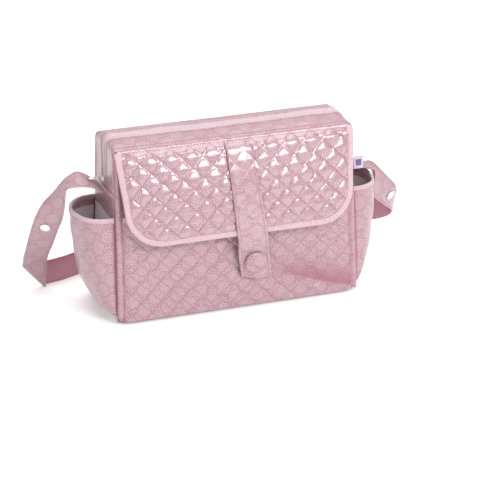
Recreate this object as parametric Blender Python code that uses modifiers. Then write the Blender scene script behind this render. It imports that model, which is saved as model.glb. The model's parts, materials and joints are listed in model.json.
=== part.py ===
"""Soft diaper bag with a quilted flap, bottle pockets, a zipped top and a shoulder strap.

Metres, +Z up. The front faces -Y and the origin is the centre of the base, on the floor.
"""
import math

import bmesh
import bpy
from mathutils import Matrix, Vector

# Bag body
BASE_HALF_WIDTH = 0.193
TOP_HALF_WIDTH = 0.187
BASE_HALF_DEPTH = 0.070
TOP_HALF_DEPTH = 0.051
SEAM_HEIGHT = 0.265
CROWN = 0.011
CORNER_RADIUS = 0.012
QUILT_THICKNESS = 0.004
PLAIN_THICKNESS = 0.003
LINING_THICKNESS = 0.001
GAP = 0.0005
SEAM_CLEARANCE = 0.0003

# Base
BASE_THICKNESS = 0.004
BOARD_THICKNESS = 0.003
BOARD_MARGIN = 0.006

# Zip
ZIP_END_HEIGHT = 0.200
TAPE_HALF_WIDTH = 0.015
COIL_HALF_WIDTH = 0.0026
TAPE_THICKNESS = 0.0015
COIL_THICKNESS = 0.0025
SLIDER_SIZE = (0.0045, 0.008, 0.009)
SLIDER_HEIGHT = 0.2085
PULL_LENGTH = 0.018
PULL_WIDTH = 0.006
PULL_THICKNESS = 0.0015
PULL_HEIGHT = 0.2125

# Inside pocket on the back of the lining
INNER_POCKET_HALF_WIDTH = 0.095
INNER_POCKET_LOW = 0.060
INNER_POCKET_HIGH = 0.165
INNER_POCKET_DEPTH = 0.012
INNER_ELASTIC_HEIGHT = 0.010

# Front pocket under the flap
POCKET_INSET = 0.0095     # from the side seams
POCKET_MOUTH_HEIGHT = 0.160
POCKET_BULGE = 0.011
POCKET_THICKNESS = 0.0035
POCKET_BINDING_HEIGHT = 0.008

# Bottle pockets on the sides
BOTTLE_MOUTH_HEIGHT = 0.158
BOTTLE_DEPTH = 0.144
BOTTLE_BULGE = 0.047
BOTTLE_HALF_LENGTH = 0.0575
BOTTLE_THICKNESS = 0.0025
BOTTLE_BINDING_HEIGHT = 0.008

# Flap
FLAP_HINGE = Vector((0.0, -0.0540, 0.2655))
FLAP_TILT = math.radians(14.2)
FLAP_LENGTH = 0.143
FLAP_TOP_HALF_WIDTH = 0.187
FLAP_HALF_WIDTH = 0.179
FLAP_CORNER = 0.055
FLAP_THICKNESS = 0.0035
BINDING_RADIUS = 0.0022

# Centre tab and its covered button
TAB_THICKNESS = 0.0025
BUTTON_RADIUS = 0.0178
BUTTON_HEIGHT = 0.009
BUTTON_DROP = 0.1877
MAGNET_RADIUS = 0.008
MAGNET_THICKNESS = 0.0017

# The tab by its distance down from the flap's hinge: how far it stands out, how far it
# leans to the right, and half its width.
TAB_DROPS = (0.004, 0.060, 0.120, 0.143, 0.150, 0.160, 0.172, 0.195, 0.2130)
TAB_LIFTS = (0.0042, 0.0042, 0.0042, 0.0042, 0.0024, -0.0050, -0.0138, -0.0225, -0.0294)
TAB_SHIFTS = (0.0000, 0.0040, 0.0100, 0.0125, 0.0137, 0.0155, 0.0178, 0.0215, 0.0244)
TAB_HALF_WIDTHS = (0.0195, 0.0215, 0.0235, 0.0240, 0.0241, 0.0243, 0.0246, 0.0250, 0.0250)
TAB_TIP = 0.003
TAB_SKEW = 0.0034        # the right corner of its end hangs lower than the left one

# Shoulder strap
STRAP_WIDTH = 0.040
STRAP_THICKNESS = 0.003
STRAP_AXIS_HEIGHT = 0.192
SNAP_RADIUS = 0.0078
SNAP_HEIGHT = 0.003
SNAP_SECTION = 4         # from each end of the strap

# Middle points and lower-edge directions of the two sewn-in ends, from the side
# seam outwards, clear of the bottle pockets.
END_LEFT = [((-0.1905, 0.000, 0.1930), (0.00, -1.00, 0.00)),
            ((-0.1970, 0.000, 0.1985), (0.00, -1.00, -0.08)),
            ((-0.2070, 0.000, 0.2055), (0.00, -0.99, -0.15)),
            ((-0.2170, 0.000, 0.2105), (0.00, -0.97, -0.24)),
            ((-0.2270, 0.001, 0.2125), (0.00, -0.96, -0.27)),
            ((-0.2420, 0.003, 0.2080), (0.00, -1.00, -0.02))]
END_RIGHT = [((0.1903, 0.000, 0.1918), (0.00, -1.00, 0.00)),
             ((0.1970, 0.001, 0.1900), (0.00, -1.00, 0.00)),
             ((0.2070, 0.002, 0.1865), (0.00, -1.00, 0.00)),
             ((0.2170, 0.004, 0.1820), (0.00, -1.00, 0.00)),
             ((0.2290, 0.007, 0.1765), (0.00, -1.00, 0.00)),
             ((0.2420, 0.010, 0.1719), (0.00, -1.00, -0.02))]

# The rest of the strap: from the left end down to the fold at the floor, along
# the floor behind the bag, and up to the right end.
STRAP_LEFT = [((-0.2440, 0.003, 0.2071), (0.00, -1.00, -0.02)),
              ((-0.2535, 0.006, 0.1970), (0.20, -0.90, 0.28)),
              ((-0.2620, 0.016, 0.1720), (0.62, -0.76, 0.02)),
              ((-0.2665, 0.027, 0.1500), (0.84, -0.48, -0.20)),
              ((-0.2705, 0.041, 0.1280), (0.93, -0.26, -0.28)),
              ((-0.2740, 0.070, 0.0870), (0.98, -0.05, -0.20)),
              ((-0.2755, 0.090, 0.0620), (0.99, 0.05, -0.05)),
              ((-0.2755, 0.100, 0.0455), (0.98, 0.08, -0.15))]
STRAP_FOLD = [((-0.2765, 0.1045, 0.0212), (0.68, 0.04, -0.73)),
              ((-0.2725, 0.1090, 0.0210), (0.52, 0.10, -0.85)),
              ((-0.2600, 0.1120, 0.0207), (0.00, 0.00, -1.00))]
STRAP_FLOOR = [((-0.2280, 0.1200, 0.0207), (0.00, 0.00, -1.00)),
               ((-0.1940, 0.1350, 0.0207), (0.00, 0.00, -1.00)),
               ((-0.1400, 0.1570, 0.0207), (0.00, 0.00, -1.00)),
               ((-0.0500, 0.1790, 0.0207), (0.00, 0.00, -1.00)),
               ((0.0600, 0.1920, 0.0207), (0.00, 0.00, -1.00)),
               ((0.1700, 0.1980, 0.0207), (0.00, 0.00, -1.00)),
               ((0.2500, 0.1860, 0.0235), (0.00, -0.10, -1.00))]
STRAP_RIGHT = [((0.2960, 0.1500, 0.0370), (-0.05, -0.05, -1.00)),
               ((0.3170, 0.1080, 0.0570), (0.00, 0.10, -1.00)),
               ((0.3135, 0.0720, 0.0790), (0.00, 0.30, -0.95)),
               ((0.2940, 0.0450, 0.1035), (-0.38, 0.20, -0.87)),
               ((0.2735, 0.0310, 0.1235), (-0.55, -0.10, -0.80)),
               ((0.2560, 0.0200, 0.1480), (-0.30, -0.45, -0.84)),
               ((0.2490, 0.0140, 0.1620), (-0.08, -0.85, -0.50)),
               ((0.2440, 0.0105, 0.1710), (0.00, -1.00, -0.03))]
FOLD_STRETCH = (1.33, 1.15, 1.00)

# Label in the right-hand seam
LABEL_SIZE = (0.0155, 0.0012, 0.020)
LABEL_CENTRE_HEIGHT = 0.2055

PINK = (0.64, 0.44, 0.47)
QUILT_PINK = (0.63, 0.42, 0.46)
STRAP_PINK = (0.58, 0.43, 0.46)
TRIM_PINK = (0.78, 0.56, 0.60)
LINING_GREY = (0.60, 0.57, 0.59)
TAPE_PINK = (0.70, 0.60, 0.63)
BOARD_GREY = (0.35, 0.34, 0.33)
SNAP_WHITE = (0.80, 0.80, 0.78)
STEEL = (0.62, 0.61, 0.60)

FABRIC_ROUGHNESS = 0.75
LAMINATE_ROUGHNESS = 0.35


def clear_scene():
    for item in list(bpy.data.objects):
        bpy.data.objects.remove(item, do_unlink=True)


def new_collection(name):
    collection = bpy.data.collections.new(name)
    bpy.context.scene.collection.children.link(collection)
    return collection


def half_width(z):
    return BASE_HALF_WIDTH + (TOP_HALF_WIDTH - BASE_HALF_WIDTH) * z / SEAM_HEIGHT


def half_depth(z):
    return BASE_HALF_DEPTH + (TOP_HALF_DEPTH - BASE_HALF_DEPTH) * z / SEAM_HEIGHT


def crown(y):
    return CROWN * (1.0 - (y / TOP_HALF_DEPTH) ** 2)


def finish_object(name, mesh, collection, colour, roughness=FABRIC_ROUGHNESS, metallic=0.0, smooth=True):
    item = bpy.data.objects.new(name, mesh)
    collection.objects.link(item)
    material = bpy.data.materials.new(name)
    material.use_nodes = True
    shader = material.node_tree.nodes["Principled BSDF"]
    shader.inputs["Base Color"].default_value = (*colour, 1.0)
    shader.inputs["Roughness"].default_value = roughness
    shader.inputs["Metallic"].default_value = metallic
    mesh.materials.append(material)
    if smooth:
        mesh.shade_smooth()
        mesh.set_sharp_from_angle(angle=math.radians(35.0))
    return item


def add_solidify(item, thickness, offset=-1.0):
    modifier = item.modifiers.new("thickness", "SOLIDIFY")
    modifier.thickness = thickness
    modifier.offset = offset
    return item


def flat_piece(name, outline, thickness, collection, colour, roughness=FABRIC_ROUGHNESS):
    """A flat closed outline with its thickness added behind its face."""
    build = bmesh.new()
    build.faces.new([build.verts.new(point) for point in outline])
    mesh = bpy.data.meshes.new(name)
    build.to_mesh(mesh)
    build.free()
    item = finish_object(name, mesh, collection, colour, roughness, smooth=False)
    return add_solidify(item, thickness)


def formed_sheet(name, place, columns, rows, thickness, collection, colour, offset=-1.0,
                 roughness=FABRIC_ROUGHNESS):
    """A grid whose column and row numbers are turned into points by place()."""
    build = bmesh.new()
    bmesh.ops.create_grid(build, x_segments=columns, y_segments=rows, size=0.5)
    for vertex in build.verts:
        column = round((vertex.co.x + 0.5) * columns)
        row = round((vertex.co.y + 0.5) * rows)
        vertex.co = place(column, row)
    mesh = bpy.data.meshes.new(name)
    build.to_mesh(mesh)
    build.free()
    item = finish_object(name, mesh, collection, colour, roughness)
    return add_solidify(item, thickness, offset)


def block(name, centre, size, collection, colour, bevel=0.0, roughness=0.4, metallic=0.0):
    build = bmesh.new()
    bmesh.ops.create_cube(build, size=1.0)
    bmesh.ops.scale(build, vec=size, verts=build.verts)
    mesh = bpy.data.meshes.new(name)
    build.to_mesh(mesh)
    build.free()
    item = finish_object(name, mesh, collection, colour, roughness, metallic, smooth=False)
    item.location = centre
    if bevel:
        modifier = item.modifiers.new("round_edges", "BEVEL")
        modifier.width = bevel
        modifier.segments = 2
    return item


def turned(name, profile, centre, axis, collection, colour, roughness=0.4, metallic=0.0, steps=24):
    """A profile of (radius, height) points, outer side first, turned about the given axis."""
    mesh = bpy.data.meshes.new(name)
    points = [(radius, 0.0, height) for radius, height in profile]
    edges = [(i, i + 1) for i in range(len(points) - 1)]
    mesh.from_pydata(points, edges, [])
    item = finish_object(name, mesh, collection, colour, roughness, metallic, smooth=False)
    item.location = centre
    item.rotation_euler = Vector(axis).to_track_quat("Z", "Y").to_euler()
    screw = item.modifiers.new("turn", "SCREW")
    screw.axis = "Z"
    screw.steps = steps
    screw.render_steps = steps
    screw.use_merge_vertices = True
    screw.merge_threshold = 0.0001
    screw.use_smooth_shade = True
    return item


def disc_profile(radius, height, crown_height=0.0, segments=6):
    """Top centre, over the rounded top, down the side and back under to the centre."""
    points = [(radius * math.sin(0.5 * math.pi * i / segments),
               height - crown_height * (1.0 - math.cos(0.5 * math.pi * i / segments)))
              for i in range(segments + 1)]
    return points + [(radius, 0.0), (0.0, 0.0)]


def smooth_value(stations, values, at):
    """Catmull-Rom interpolation of numbers or vectors through rising stations."""
    last = len(stations) - 1
    index = max(i for i in range(last) if stations[i] <= at or i == 0)
    before = values[max(index - 1, 0)]
    start = values[index]
    end = values[index + 1]
    after = values[min(index + 2, last)]
    t = (at - stations[index]) / (stations[index + 1] - stations[index])
    return 0.5 * (2.0 * start + (end - before) * t
                  + (2.0 * before - 5.0 * start + 4.0 * end - after) * t ** 2
                  + (3.0 * start - before - 3.0 * end + after) * t ** 3)


def anchor_empty(name, location, collection):
    empty = bpy.data.objects.new(name, None)
    empty.empty_display_size = 0.02
    empty.location = location
    collection.objects.link(empty)
    return empty


def hang_on(empty, items, carrier=None):
    """Parent the pieces of one moving body to the empty on its joint's axis."""
    for item in items:
        item.parent = empty
        item.matrix_parent_inverse = Matrix.Translation(-empty.location)
    if carrier:
        empty.parent = carrier
        empty.matrix_parent_inverse = Matrix.Translation(-carrier.location)


# ---------------------------------------------------------------- body of the bag

def corner_arc(centre_x, centre_z, start, end, segments=5):
    """Points of an arc of the top corner radius, angles in degrees from +X."""
    angles = [math.radians(start + (end - start) * i / segments) for i in range(segments + 1)]
    return [(centre_x + CORNER_RADIUS * math.cos(a), centre_z + CORNER_RADIUS * math.sin(a))
            for a in angles]


def main_panels(collection):
    low = BASE_THICKNESS + GAP
    arc_x = TOP_HALF_WIDTH - CORNER_RADIUS
    arc_z = SEAM_HEIGHT - CORNER_RADIUS
    outline = [(-half_width(low), low), (half_width(low), low)]
    outline += corner_arc(arc_x, arc_z, 0.0, 90.0) + corner_arc(-arc_x, arc_z, 90.0, 180.0)
    flat_piece("front_panel", [(x, -half_depth(z), z) for x, z in outline], QUILT_THICKNESS,
               collection, QUILT_PINK, LAMINATE_ROUGHNESS)
    flat_piece("back_panel", [(-x, half_depth(z), z) for x, z in outline], QUILT_THICKNESS,
               collection, PINK, LAMINATE_ROUGHNESS)


def side_outline(side, front, back, low, high_front, high_back):
    """Corners on the outside of a side, facing out; side is -1 for left and 1 for right."""
    corners = [(front(low), low), (back(low), low), (back(high_back), high_back),
               (front(high_front), high_front)]
    points = [(side * half_width(z), y, z) for y, z in corners]
    return points if side > 0 else points[::-1]


def inner_depth(z):
    return half_depth(z) - QUILT_THICKNESS - GAP - SEAM_CLEARANCE


def side_panels(collection):
    tape_edge = TAPE_HALF_WIDTH + GAP
    for side, word in ((-1, "left"), (1, "right")):
        lower = side_outline(side, lambda z: -inner_depth(z), inner_depth, BASE_THICKNESS + GAP,
                             ZIP_END_HEIGHT, ZIP_END_HEIGHT)
        flat_piece("side_panel_" + word, lower, PLAIN_THICKNESS, collection, PINK, LAMINATE_ROUGHNESS)
        low = ZIP_END_HEIGHT + GAP
        near = SEAM_HEIGHT - CORNER_RADIUS - 3.0 * GAP + crown(inner_depth(SEAM_HEIGHT))
        far = SEAM_HEIGHT - CORNER_RADIUS - 3.0 * GAP + crown(tape_edge)
        front = side_outline(side, lambda z: -inner_depth(z), lambda z: -tape_edge, low, near, far)
        back = side_outline(side, lambda z: tape_edge, inner_depth, low, far, near)
        flat_piece("side_gusset_front_" + word, front, PLAIN_THICKNESS, collection, PINK,
                   LAMINATE_ROUGHNESS)
        flat_piece("side_gusset_back_" + word, back, PLAIN_THICKNESS, collection, PINK,
                   LAMINATE_ROUGHNESS)


def base(collection):
    block("base_panel", (0.0, 0.0, 0.5 * BASE_THICKNESS),
          (2.0 * BASE_HALF_WIDTH, 2.0 * BASE_HALF_DEPTH, BASE_THICKNESS), collection, PINK,
          roughness=LAMINATE_ROUGHNESS)
    block("base_board", (0.0, 0.0, BASE_THICKNESS + GAP + 0.5 * BOARD_THICKNESS),
          (2.0 * (BASE_HALF_WIDTH - BOARD_MARGIN), 2.0 * (BASE_HALF_DEPTH - BOARD_MARGIN),
           BOARD_THICKNESS), collection, BOARD_GREY, roughness=0.8)


def tapered_shell(name, levels, thickness, open_side, collection, colour):
    """A box whose low and high rectangles differ, open on top and, if asked, at the back."""
    build = bmesh.new()
    bmesh.ops.create_cube(build, size=2.0)
    (low, low_x, low_front, low_back), (high, high_x, high_front, high_back) = levels
    for face in list(build.faces):
        normal = face.normal
        if normal.z > 0.5 or (open_side == "back" and normal.y > 0.5):
            build.faces.remove(face)
    for vertex in build.verts:
        top = vertex.co.z > 0.0
        front, back = (high_front, high_back) if top else (low_front, low_back)
        width = high_x if top else low_x
        vertex.co = (vertex.co.x * width, back if vertex.co.y > 0.0 else front, high if top else low)
    mesh = bpy.data.meshes.new(name)
    build.to_mesh(mesh)
    build.free()
    item = finish_object(name, mesh, collection, colour, smooth=False)
    add_solidify(item, thickness).modifiers["thickness"].use_even_offset = True
    return item


def lining(collection):
    low = BASE_THICKNESS + BOARD_THICKNESS + 3.0 * GAP
    high = SEAM_HEIGHT - CORNER_RADIUS - 3.0 * PLAIN_THICKNESS
    levels = [(z, half_width(z) - PLAIN_THICKNESS - 2.0 * GAP, -inner_depth(z), inner_depth(z))
              for z in (low, high)]
    tapered_shell("lining", levels, LINING_THICKNESS, "top", collection, LINING_GREY)


def inner_pocket(collection):
    def back(z):
        return inner_depth(z) - LINING_THICKNESS - 2.0 * GAP

    levels = [(z, INNER_POCKET_HALF_WIDTH, back(z) - INNER_POCKET_DEPTH, back(z))
              for z in (INNER_POCKET_LOW, INNER_POCKET_HIGH)]
    tapered_shell("inner_pocket", levels, LINING_THICKNESS, "back", collection, LINING_GREY)
    low = INNER_POCKET_HIGH + GAP
    high = low + INNER_ELASTIC_HEIGHT
    levels = [(z, INNER_POCKET_HALF_WIDTH, back(z) - INNER_POCKET_DEPTH) for z in (low, high)]
    outline = [(-levels[0][1], levels[0][2], low), (levels[0][1], levels[0][2], low),
               (levels[1][1], levels[1][2], high), (-levels[1][1], levels[1][2], high)]
    flat_piece("inner_pocket_elastic", outline, LINING_THICKNESS, collection, TRIM_PINK)


def front_pocket(collection):
    columns = 12
    rows = 6
    low = 2.0 * (BASE_THICKNESS + GAP)

    def outer(across, z):
        x = (half_width(z) - POCKET_INSET) * across
        bulge = POCKET_BULGE * (1.0 - across ** 2)
        bulge *= min(z / POCKET_MOUTH_HEIGHT, 1.0) ** 2
        return Vector((x, -half_depth(z) - 2.0 * GAP - POCKET_THICKNESS - bulge, z))

    def panel(column, row):
        return outer(2.0 * column / columns - 1.0, low + (POCKET_MOUTH_HEIGHT - low) * row / rows)

    def binding(column, row):
        low_edge = POCKET_MOUTH_HEIGHT + GAP
        return outer(2.0 * column / columns - 1.0, low_edge + POCKET_BINDING_HEIGHT * row)

    formed_sheet("front_pocket", panel, columns, rows, POCKET_THICKNESS, collection, QUILT_PINK,
                 roughness=LAMINATE_ROUGHNESS)
    formed_sheet("front_pocket_binding", binding, columns, 1, POCKET_THICKNESS, collection, TRIM_PINK)


def bottle_pockets(collection):
    columns = 14
    rows = 7
    stand_off = 2.0 * GAP + BOTTLE_THICKNESS

    def place(side, around, z, bulge):
        y = -BOTTLE_HALF_LENGTH * math.cos(around) * half_depth(z) / half_depth(BOTTLE_MOUTH_HEIGHT)
        return Vector((side * (half_width(z) + stand_off + bulge * math.sin(around) ** 0.8), y, z))

    def angle(column, side):
        fraction = column / columns
        return math.pi * (fraction if side > 0 else 1.0 - fraction)

    for side, word in ((-1, "left"), (1, "right")):
        def wall(column, row, side=side):
            rise = 0.5 * math.pi * (0.12 + 0.88 * row / rows)
            z = BOTTLE_MOUTH_HEIGHT - BOTTLE_DEPTH * math.cos(rise)
            return place(side, angle(column, side), z, BOTTLE_BULGE * math.sin(rise))

        def binding(column, row, side=side):
            z = BOTTLE_MOUTH_HEIGHT + GAP + BOTTLE_BINDING_HEIGHT * row
            return place(side, angle(column, side), z, BOTTLE_BULGE)

        formed_sheet("bottle_pocket_" + word, wall, columns, rows, BOTTLE_THICKNESS, collection, PINK,
                     roughness=LAMINATE_ROUGHNESS)
        formed_sheet("bottle_pocket_binding_" + word, binding, columns, 1, BOTTLE_THICKNESS,
                     collection, TRIM_PINK)


# ---------------------------------------------------------------- zipped top

def top_path():
    """(x, drop below the flat top) from the left side over both rounded corners."""
    arc_x = TOP_HALF_WIDTH - CORNER_RADIUS
    right = [(x, CORNER_RADIUS - z) for x, z in corner_arc(arc_x, 0.0, 90.0, 0.0)]
    left = [(-x, drop) for x, drop in reversed(right)]
    middle = [(arc_x * (2.0 * i / 4 - 1.0), 0.0) for i in range(1, 4)]
    return left + middle + right


def half_top(word, sign, collection):
    """One half of the top with its tape and coil; sign is -1 for the front and 1 for the back."""
    seam = TOP_HALF_DEPTH - QUILT_THICKNESS - 1.5 * GAP
    path = top_path()

    def sheet(name, outer, inner, thickness, stations, colour):
        rows = 4

        def place(column, row):
            x, drop = stations[column]
            y = outer + (inner - outer) * row / rows
            return Vector((x, sign * y, SEAM_HEIGHT + crown(y) - drop))

        if sign > 0:
            stations = stations[::-1]
        return formed_sheet(name, place, len(stations) - 1, rows, thickness, collection, colour)

    straight = TOP_HALF_WIDTH - CORNER_RADIUS - 2.0 * PLAIN_THICKNESS + 0.002
    across = [(straight * (2.0 * i / 4 - 1.0), 0.0) for i in range(5)]
    panel = sheet("top_panel_" + word, seam, TAPE_HALF_WIDTH + GAP, PLAIN_THICKNESS, path, PINK)
    tape = sheet("zip_tape_" + word, TAPE_HALF_WIDTH, COIL_HALF_WIDTH + GAP, TAPE_THICKNESS, across,
                 TAPE_PINK)
    coil = sheet("zip_coil_" + word, COIL_HALF_WIDTH, 0.5 * GAP, COIL_THICKNESS, across, TAPE_PINK)
    hinge = anchor_empty("lid_" + word + "_hinge", (0.0, sign * seam, SEAM_HEIGHT + GAP), collection)
    hang_on(hinge, [panel, tape, coil])


def side_zips(collection):
    arc_x = TOP_HALF_WIDTH - CORNER_RADIUS
    low = ZIP_END_HEIGHT + GAP
    arc_z = SEAM_HEIGHT - CORNER_RADIUS
    path = [(half_width(low), low), (TOP_HALF_WIDTH, arc_z)]
    path += corner_arc(arc_x, arc_z, 18.0, 90.0, 4) + [(arc_x - PLAIN_THICKNESS, SEAM_HEIGHT)]
    reach = TAPE_HALF_WIDTH - 0.5 * GAP
    for side, word in ((-1, "left"), (1, "right")):
        def place(column, row, side=side):
            x, z = path[row]
            y = side * reach * (2.0 * column / 4 - 1.0)
            lift = 0.0 if row == 0 else crown(y)
            return Vector((side * x, y, z + lift))

        formed_sheet("side_zip_" + word, place, 4, len(path) - 1, 0.5 * PLAIN_THICKNESS, collection,
                     TAPE_PINK)


def slider_and_pull(collection):
    width = half_width(SLIDER_HEIGHT)
    slider_x = -width - GAP - 0.5 * SLIDER_SIZE[0]
    slider = block("zip_slider", (slider_x, 0.0, SLIDER_HEIGHT), SLIDER_SIZE, collection, STEEL, 0.001,
                   0.3, 1.0)
    axis_x = -width - 2.0 * GAP - SLIDER_SIZE[0] - 0.0005
    root = axis_x - 0.0005
    pull = block("zip_pull", (root - 0.5 * PULL_LENGTH, 0.0, PULL_HEIGHT),
                 (PULL_LENGTH, PULL_WIDTH, PULL_THICKNESS), collection, STEEL, 0.0005, 0.3, 1.0)
    slide = anchor_empty("zip_slide", (slider_x, 0.0, SLIDER_HEIGHT), collection)
    pivot = anchor_empty("zip_pull_hinge", (axis_x, 0.0, PULL_HEIGHT), collection)
    hang_on(slide, [slider])
    hang_on(pivot, [pull], slide)


# ---------------------------------------------------------------- flap, tab and button

def flap_point(x, drop, lift):
    """A point by its place across the flap, down it from the hinge, and out from its middle."""
    down = Vector((0.0, -math.sin(FLAP_TILT), -math.cos(FLAP_TILT)))
    out = Vector((0.0, -math.cos(FLAP_TILT), math.sin(FLAP_TILT)))
    return FLAP_HINGE + Vector((x, 0.0, 0.0)) + down * drop + out * lift


def flap_edge(inset, top_drop, segments=10):
    """The right half of the flap's edge, from the top down to the middle of the bottom."""
    radius = FLAP_CORNER - inset
    centre_x = FLAP_HALF_WIDTH - FLAP_CORNER
    centre_drop = FLAP_LENGTH - FLAP_CORNER
    taper = (FLAP_TOP_HALF_WIDTH - FLAP_HALF_WIDTH) / centre_drop
    points = [(FLAP_TOP_HALF_WIDTH - inset - taper * top_drop, top_drop)]
    for i in range(segments + 1):
        a = 0.5 * math.pi * i / segments
        points.append((centre_x + radius * math.cos(a), centre_drop + radius * math.sin(a)))
    return points


def flap_outline(inset, top_drop):
    right = flap_edge(inset, top_drop)
    return [(-x, drop) for x, drop in right] + right[::-1]


def flap_pieces(collection):
    half = 0.5 * FLAP_THICKNESS
    shell_inset = 2.0 * BINDING_RADIUS + GAP
    shell = flat_piece("flap_shell", [flap_point(x, d, half) for x, d in flap_outline(shell_inset, 0.0)],
                       FLAP_THICKNESS, collection, QUILT_PINK, LAMINATE_ROUGHNESS)
    inner = [flap_point(x, d, -half - GAP) for x, d in flap_outline(2.0 * shell_inset, 0.02)]
    lining_sheet = flat_piece("flap_lining", inner, LINING_THICKNESS, collection, LINING_GREY)
    curve = bpy.data.curves.new("flap_binding", "CURVE")
    curve.dimensions = "3D"
    curve.bevel_depth = BINDING_RADIUS
    curve.bevel_resolution = 2
    curve.use_fill_caps = True
    curve.render_resolution_u = 0
    route = flap_outline(BINDING_RADIUS, 0.004)
    spline = curve.splines.new("POLY")
    spline.points.add(len(route) - 1)
    for point, (x, drop) in zip(spline.points, route):
        point.co = (*flap_point(x, drop, 0.0), 1.0)
    binding = finish_object("flap_binding", curve, collection, TRIM_PINK, smooth=False)
    return [shell, lining_sheet, binding]


def tab_point(drop, across):
    """A point on the middle surface of the tab; across runs from -1 at the left to 1."""
    lift = smooth_value(TAB_DROPS, TAB_LIFTS, drop)
    shift = smooth_value(TAB_DROPS, TAB_SHIFTS, drop)
    width = smooth_value(TAB_DROPS, TAB_HALF_WIDTHS, drop)
    return flap_point(shift + across * width, drop, lift)


def tab_and_button(collection):
    rows = 22
    first, last = TAB_DROPS[0], TAB_DROPS[-1]

    def place(column, row):
        across = column - 1.0
        point = tab_point(last + (first - last) * row / rows, across)
        if row == 0:
            point.z -= TAB_SKEW * across + TAB_TIP * (1.0 - abs(across))
        return point

    tab = formed_sheet("flap_tab", place, 2, rows, TAB_THICKNESS, collection, PINK, 0.0,
                       LAMINATE_ROUGHNESS)
    centre = tab_point(BUTTON_DROP, 0.0)
    along = tab_point(BUTTON_DROP + 0.005, 0.0) - tab_point(BUTTON_DROP - 0.005, 0.0)
    out = along.cross(Vector((1.0, 0.0, 0.0))).normalized()
    if out.y > 0.0:
        out = -out
    clear = 0.5 * TAB_THICKNESS + 2.0 * GAP
    button = turned("button", disc_profile(BUTTON_RADIUS, BUTTON_HEIGHT, BUTTON_HEIGHT - 0.002),
                    centre + out * clear, out, collection, PINK, LAMINATE_ROUGHNESS)
    magnet = turned("magnet", disc_profile(MAGNET_RADIUS, MAGNET_THICKNESS, 0.0, 1),
                    centre - out * (clear + MAGNET_THICKNESS), out, collection, STEEL, 0.3, 1.0)
    return [tab, button, magnet], centre


def magnet_socket(button_centre, collection):
    z = button_centre.z
    bulge = POCKET_BULGE * (z / POCKET_MOUTH_HEIGHT) ** 2
    face = -half_depth(z) - 2.0 * GAP - POCKET_THICKNESS - bulge - GAP
    lean = (BASE_HALF_DEPTH - TOP_HALF_DEPTH) / SEAM_HEIGHT
    turned("magnet_socket", disc_profile(MAGNET_RADIUS, MAGNET_THICKNESS, 0.0, 1),
           (button_centre.x, face, z), (0.0, -1.0, lean), collection, STEEL, 0.3, 1.0)


# ---------------------------------------------------------------- strap

def ribbon(name, sections, steps, collection, colour):
    """Edge pairs joined by a smooth strip, then thickened about its middle."""
    count = len(sections) - 1
    stations = list(range(count + 1))
    edges = [(middle - across, middle + across) for middle, across in sections]
    rows = [i / steps for i in range(count * steps + 1)]

    def place(column, row):
        at = rows[row]
        upper = smooth_value(stations, [pair[0] for pair in edges], at)
        lower = smooth_value(stations, [pair[1] for pair in edges], at)
        return upper.lerp(lower, column / 2)

    return formed_sheet(name, place, 2, count * steps, STRAP_THICKNESS, collection, colour, 0.0)


def half_bands(route, stretch=None):
    """Section middles with half the band's width towards the lower edge."""
    stretch = stretch or [1.0] * len(route)
    return [(Vector(middle), Vector(lower).normalized() * 0.5 * STRAP_WIDTH * longer)
            for (middle, lower), longer in zip(route, stretch)]


def snap(word, sections, index, collection):
    """Cap on the outer face and socket on the inner face at one of the strap's sections."""
    middle, across = sections[index]
    along = sections[index + 1][0] - sections[index - 1][0]
    out = along.cross(across).normalized()
    if out.y > 0.0:
        out = -out
    clear = 0.5 * STRAP_THICKNESS + 2.0 * GAP
    cap = turned("snap_cap_" + word, disc_profile(SNAP_RADIUS, SNAP_HEIGHT, SNAP_HEIGHT - 0.0012, 4),
                 middle + out * clear, out, collection, SNAP_WHITE)
    socket = turned("snap_socket_" + word, disc_profile(SNAP_RADIUS, 0.002, 0.0, 1),
                    middle - out * (clear + 0.002), out, collection, SNAP_WHITE)
    return [cap, socket]


def strap(collection):
    for word, route in (("left", END_LEFT), ("right", END_RIGHT)):
        ribbon("strap_end_" + word, half_bands(route), 2, collection, STRAP_PINK)
    sections = half_bands(STRAP_LEFT) + half_bands(STRAP_FOLD, FOLD_STRETCH)
    sections += half_bands(STRAP_FLOOR) + half_bands(STRAP_RIGHT)
    pieces = [ribbon("shoulder_strap", sections, 3, collection, STRAP_PINK)]
    pieces += snap("left", sections, SNAP_SECTION, collection)
    pieces += snap("right", sections, len(sections) - 1 - SNAP_SECTION, collection)
    hinge = anchor_empty("strap_hinge", (0.0, 0.0, STRAP_AXIS_HEIGHT), collection)
    hang_on(hinge, pieces)


# ---------------------------------------------------------------- label


def label(collection):
    x = half_width(LABEL_CENTRE_HEIGHT) + 2.0 * GAP + 0.5 * LABEL_SIZE[0]
    y = -half_depth(LABEL_CENTRE_HEIGHT) + 0.5 * QUILT_THICKNESS
    block("side_label", (x, y, LABEL_CENTRE_HEIGHT), LABEL_SIZE, collection, (0.75, 0.70, 0.78),
          roughness=0.6)


def main():
    clear_scene()
    parts = new_collection("diaper_bag")
    main_panels(parts)
    side_panels(parts)
    base(parts)
    lining(parts)
    inner_pocket(parts)
    front_pocket(parts)
    bottle_pockets(parts)
    half_top("front", -1, parts)
    half_top("back", 1, parts)
    side_zips(parts)
    slider_and_pull(parts)
    flap = flap_pieces(parts)
    tab, button_centre = tab_and_button(parts)
    magnet_socket(button_centre, parts)
    flap_hinge = anchor_empty("flap_hinge", FLAP_HINGE, parts)
    hang_on(flap_hinge, flap + tab)
    strap(parts)
    label(parts)
    bpy.context.view_layer.update()


main()
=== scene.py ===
"""Looks of the quilted diaper bag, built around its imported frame. Metres, +Z up, front towards -Y."""
import json
import math

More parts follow.
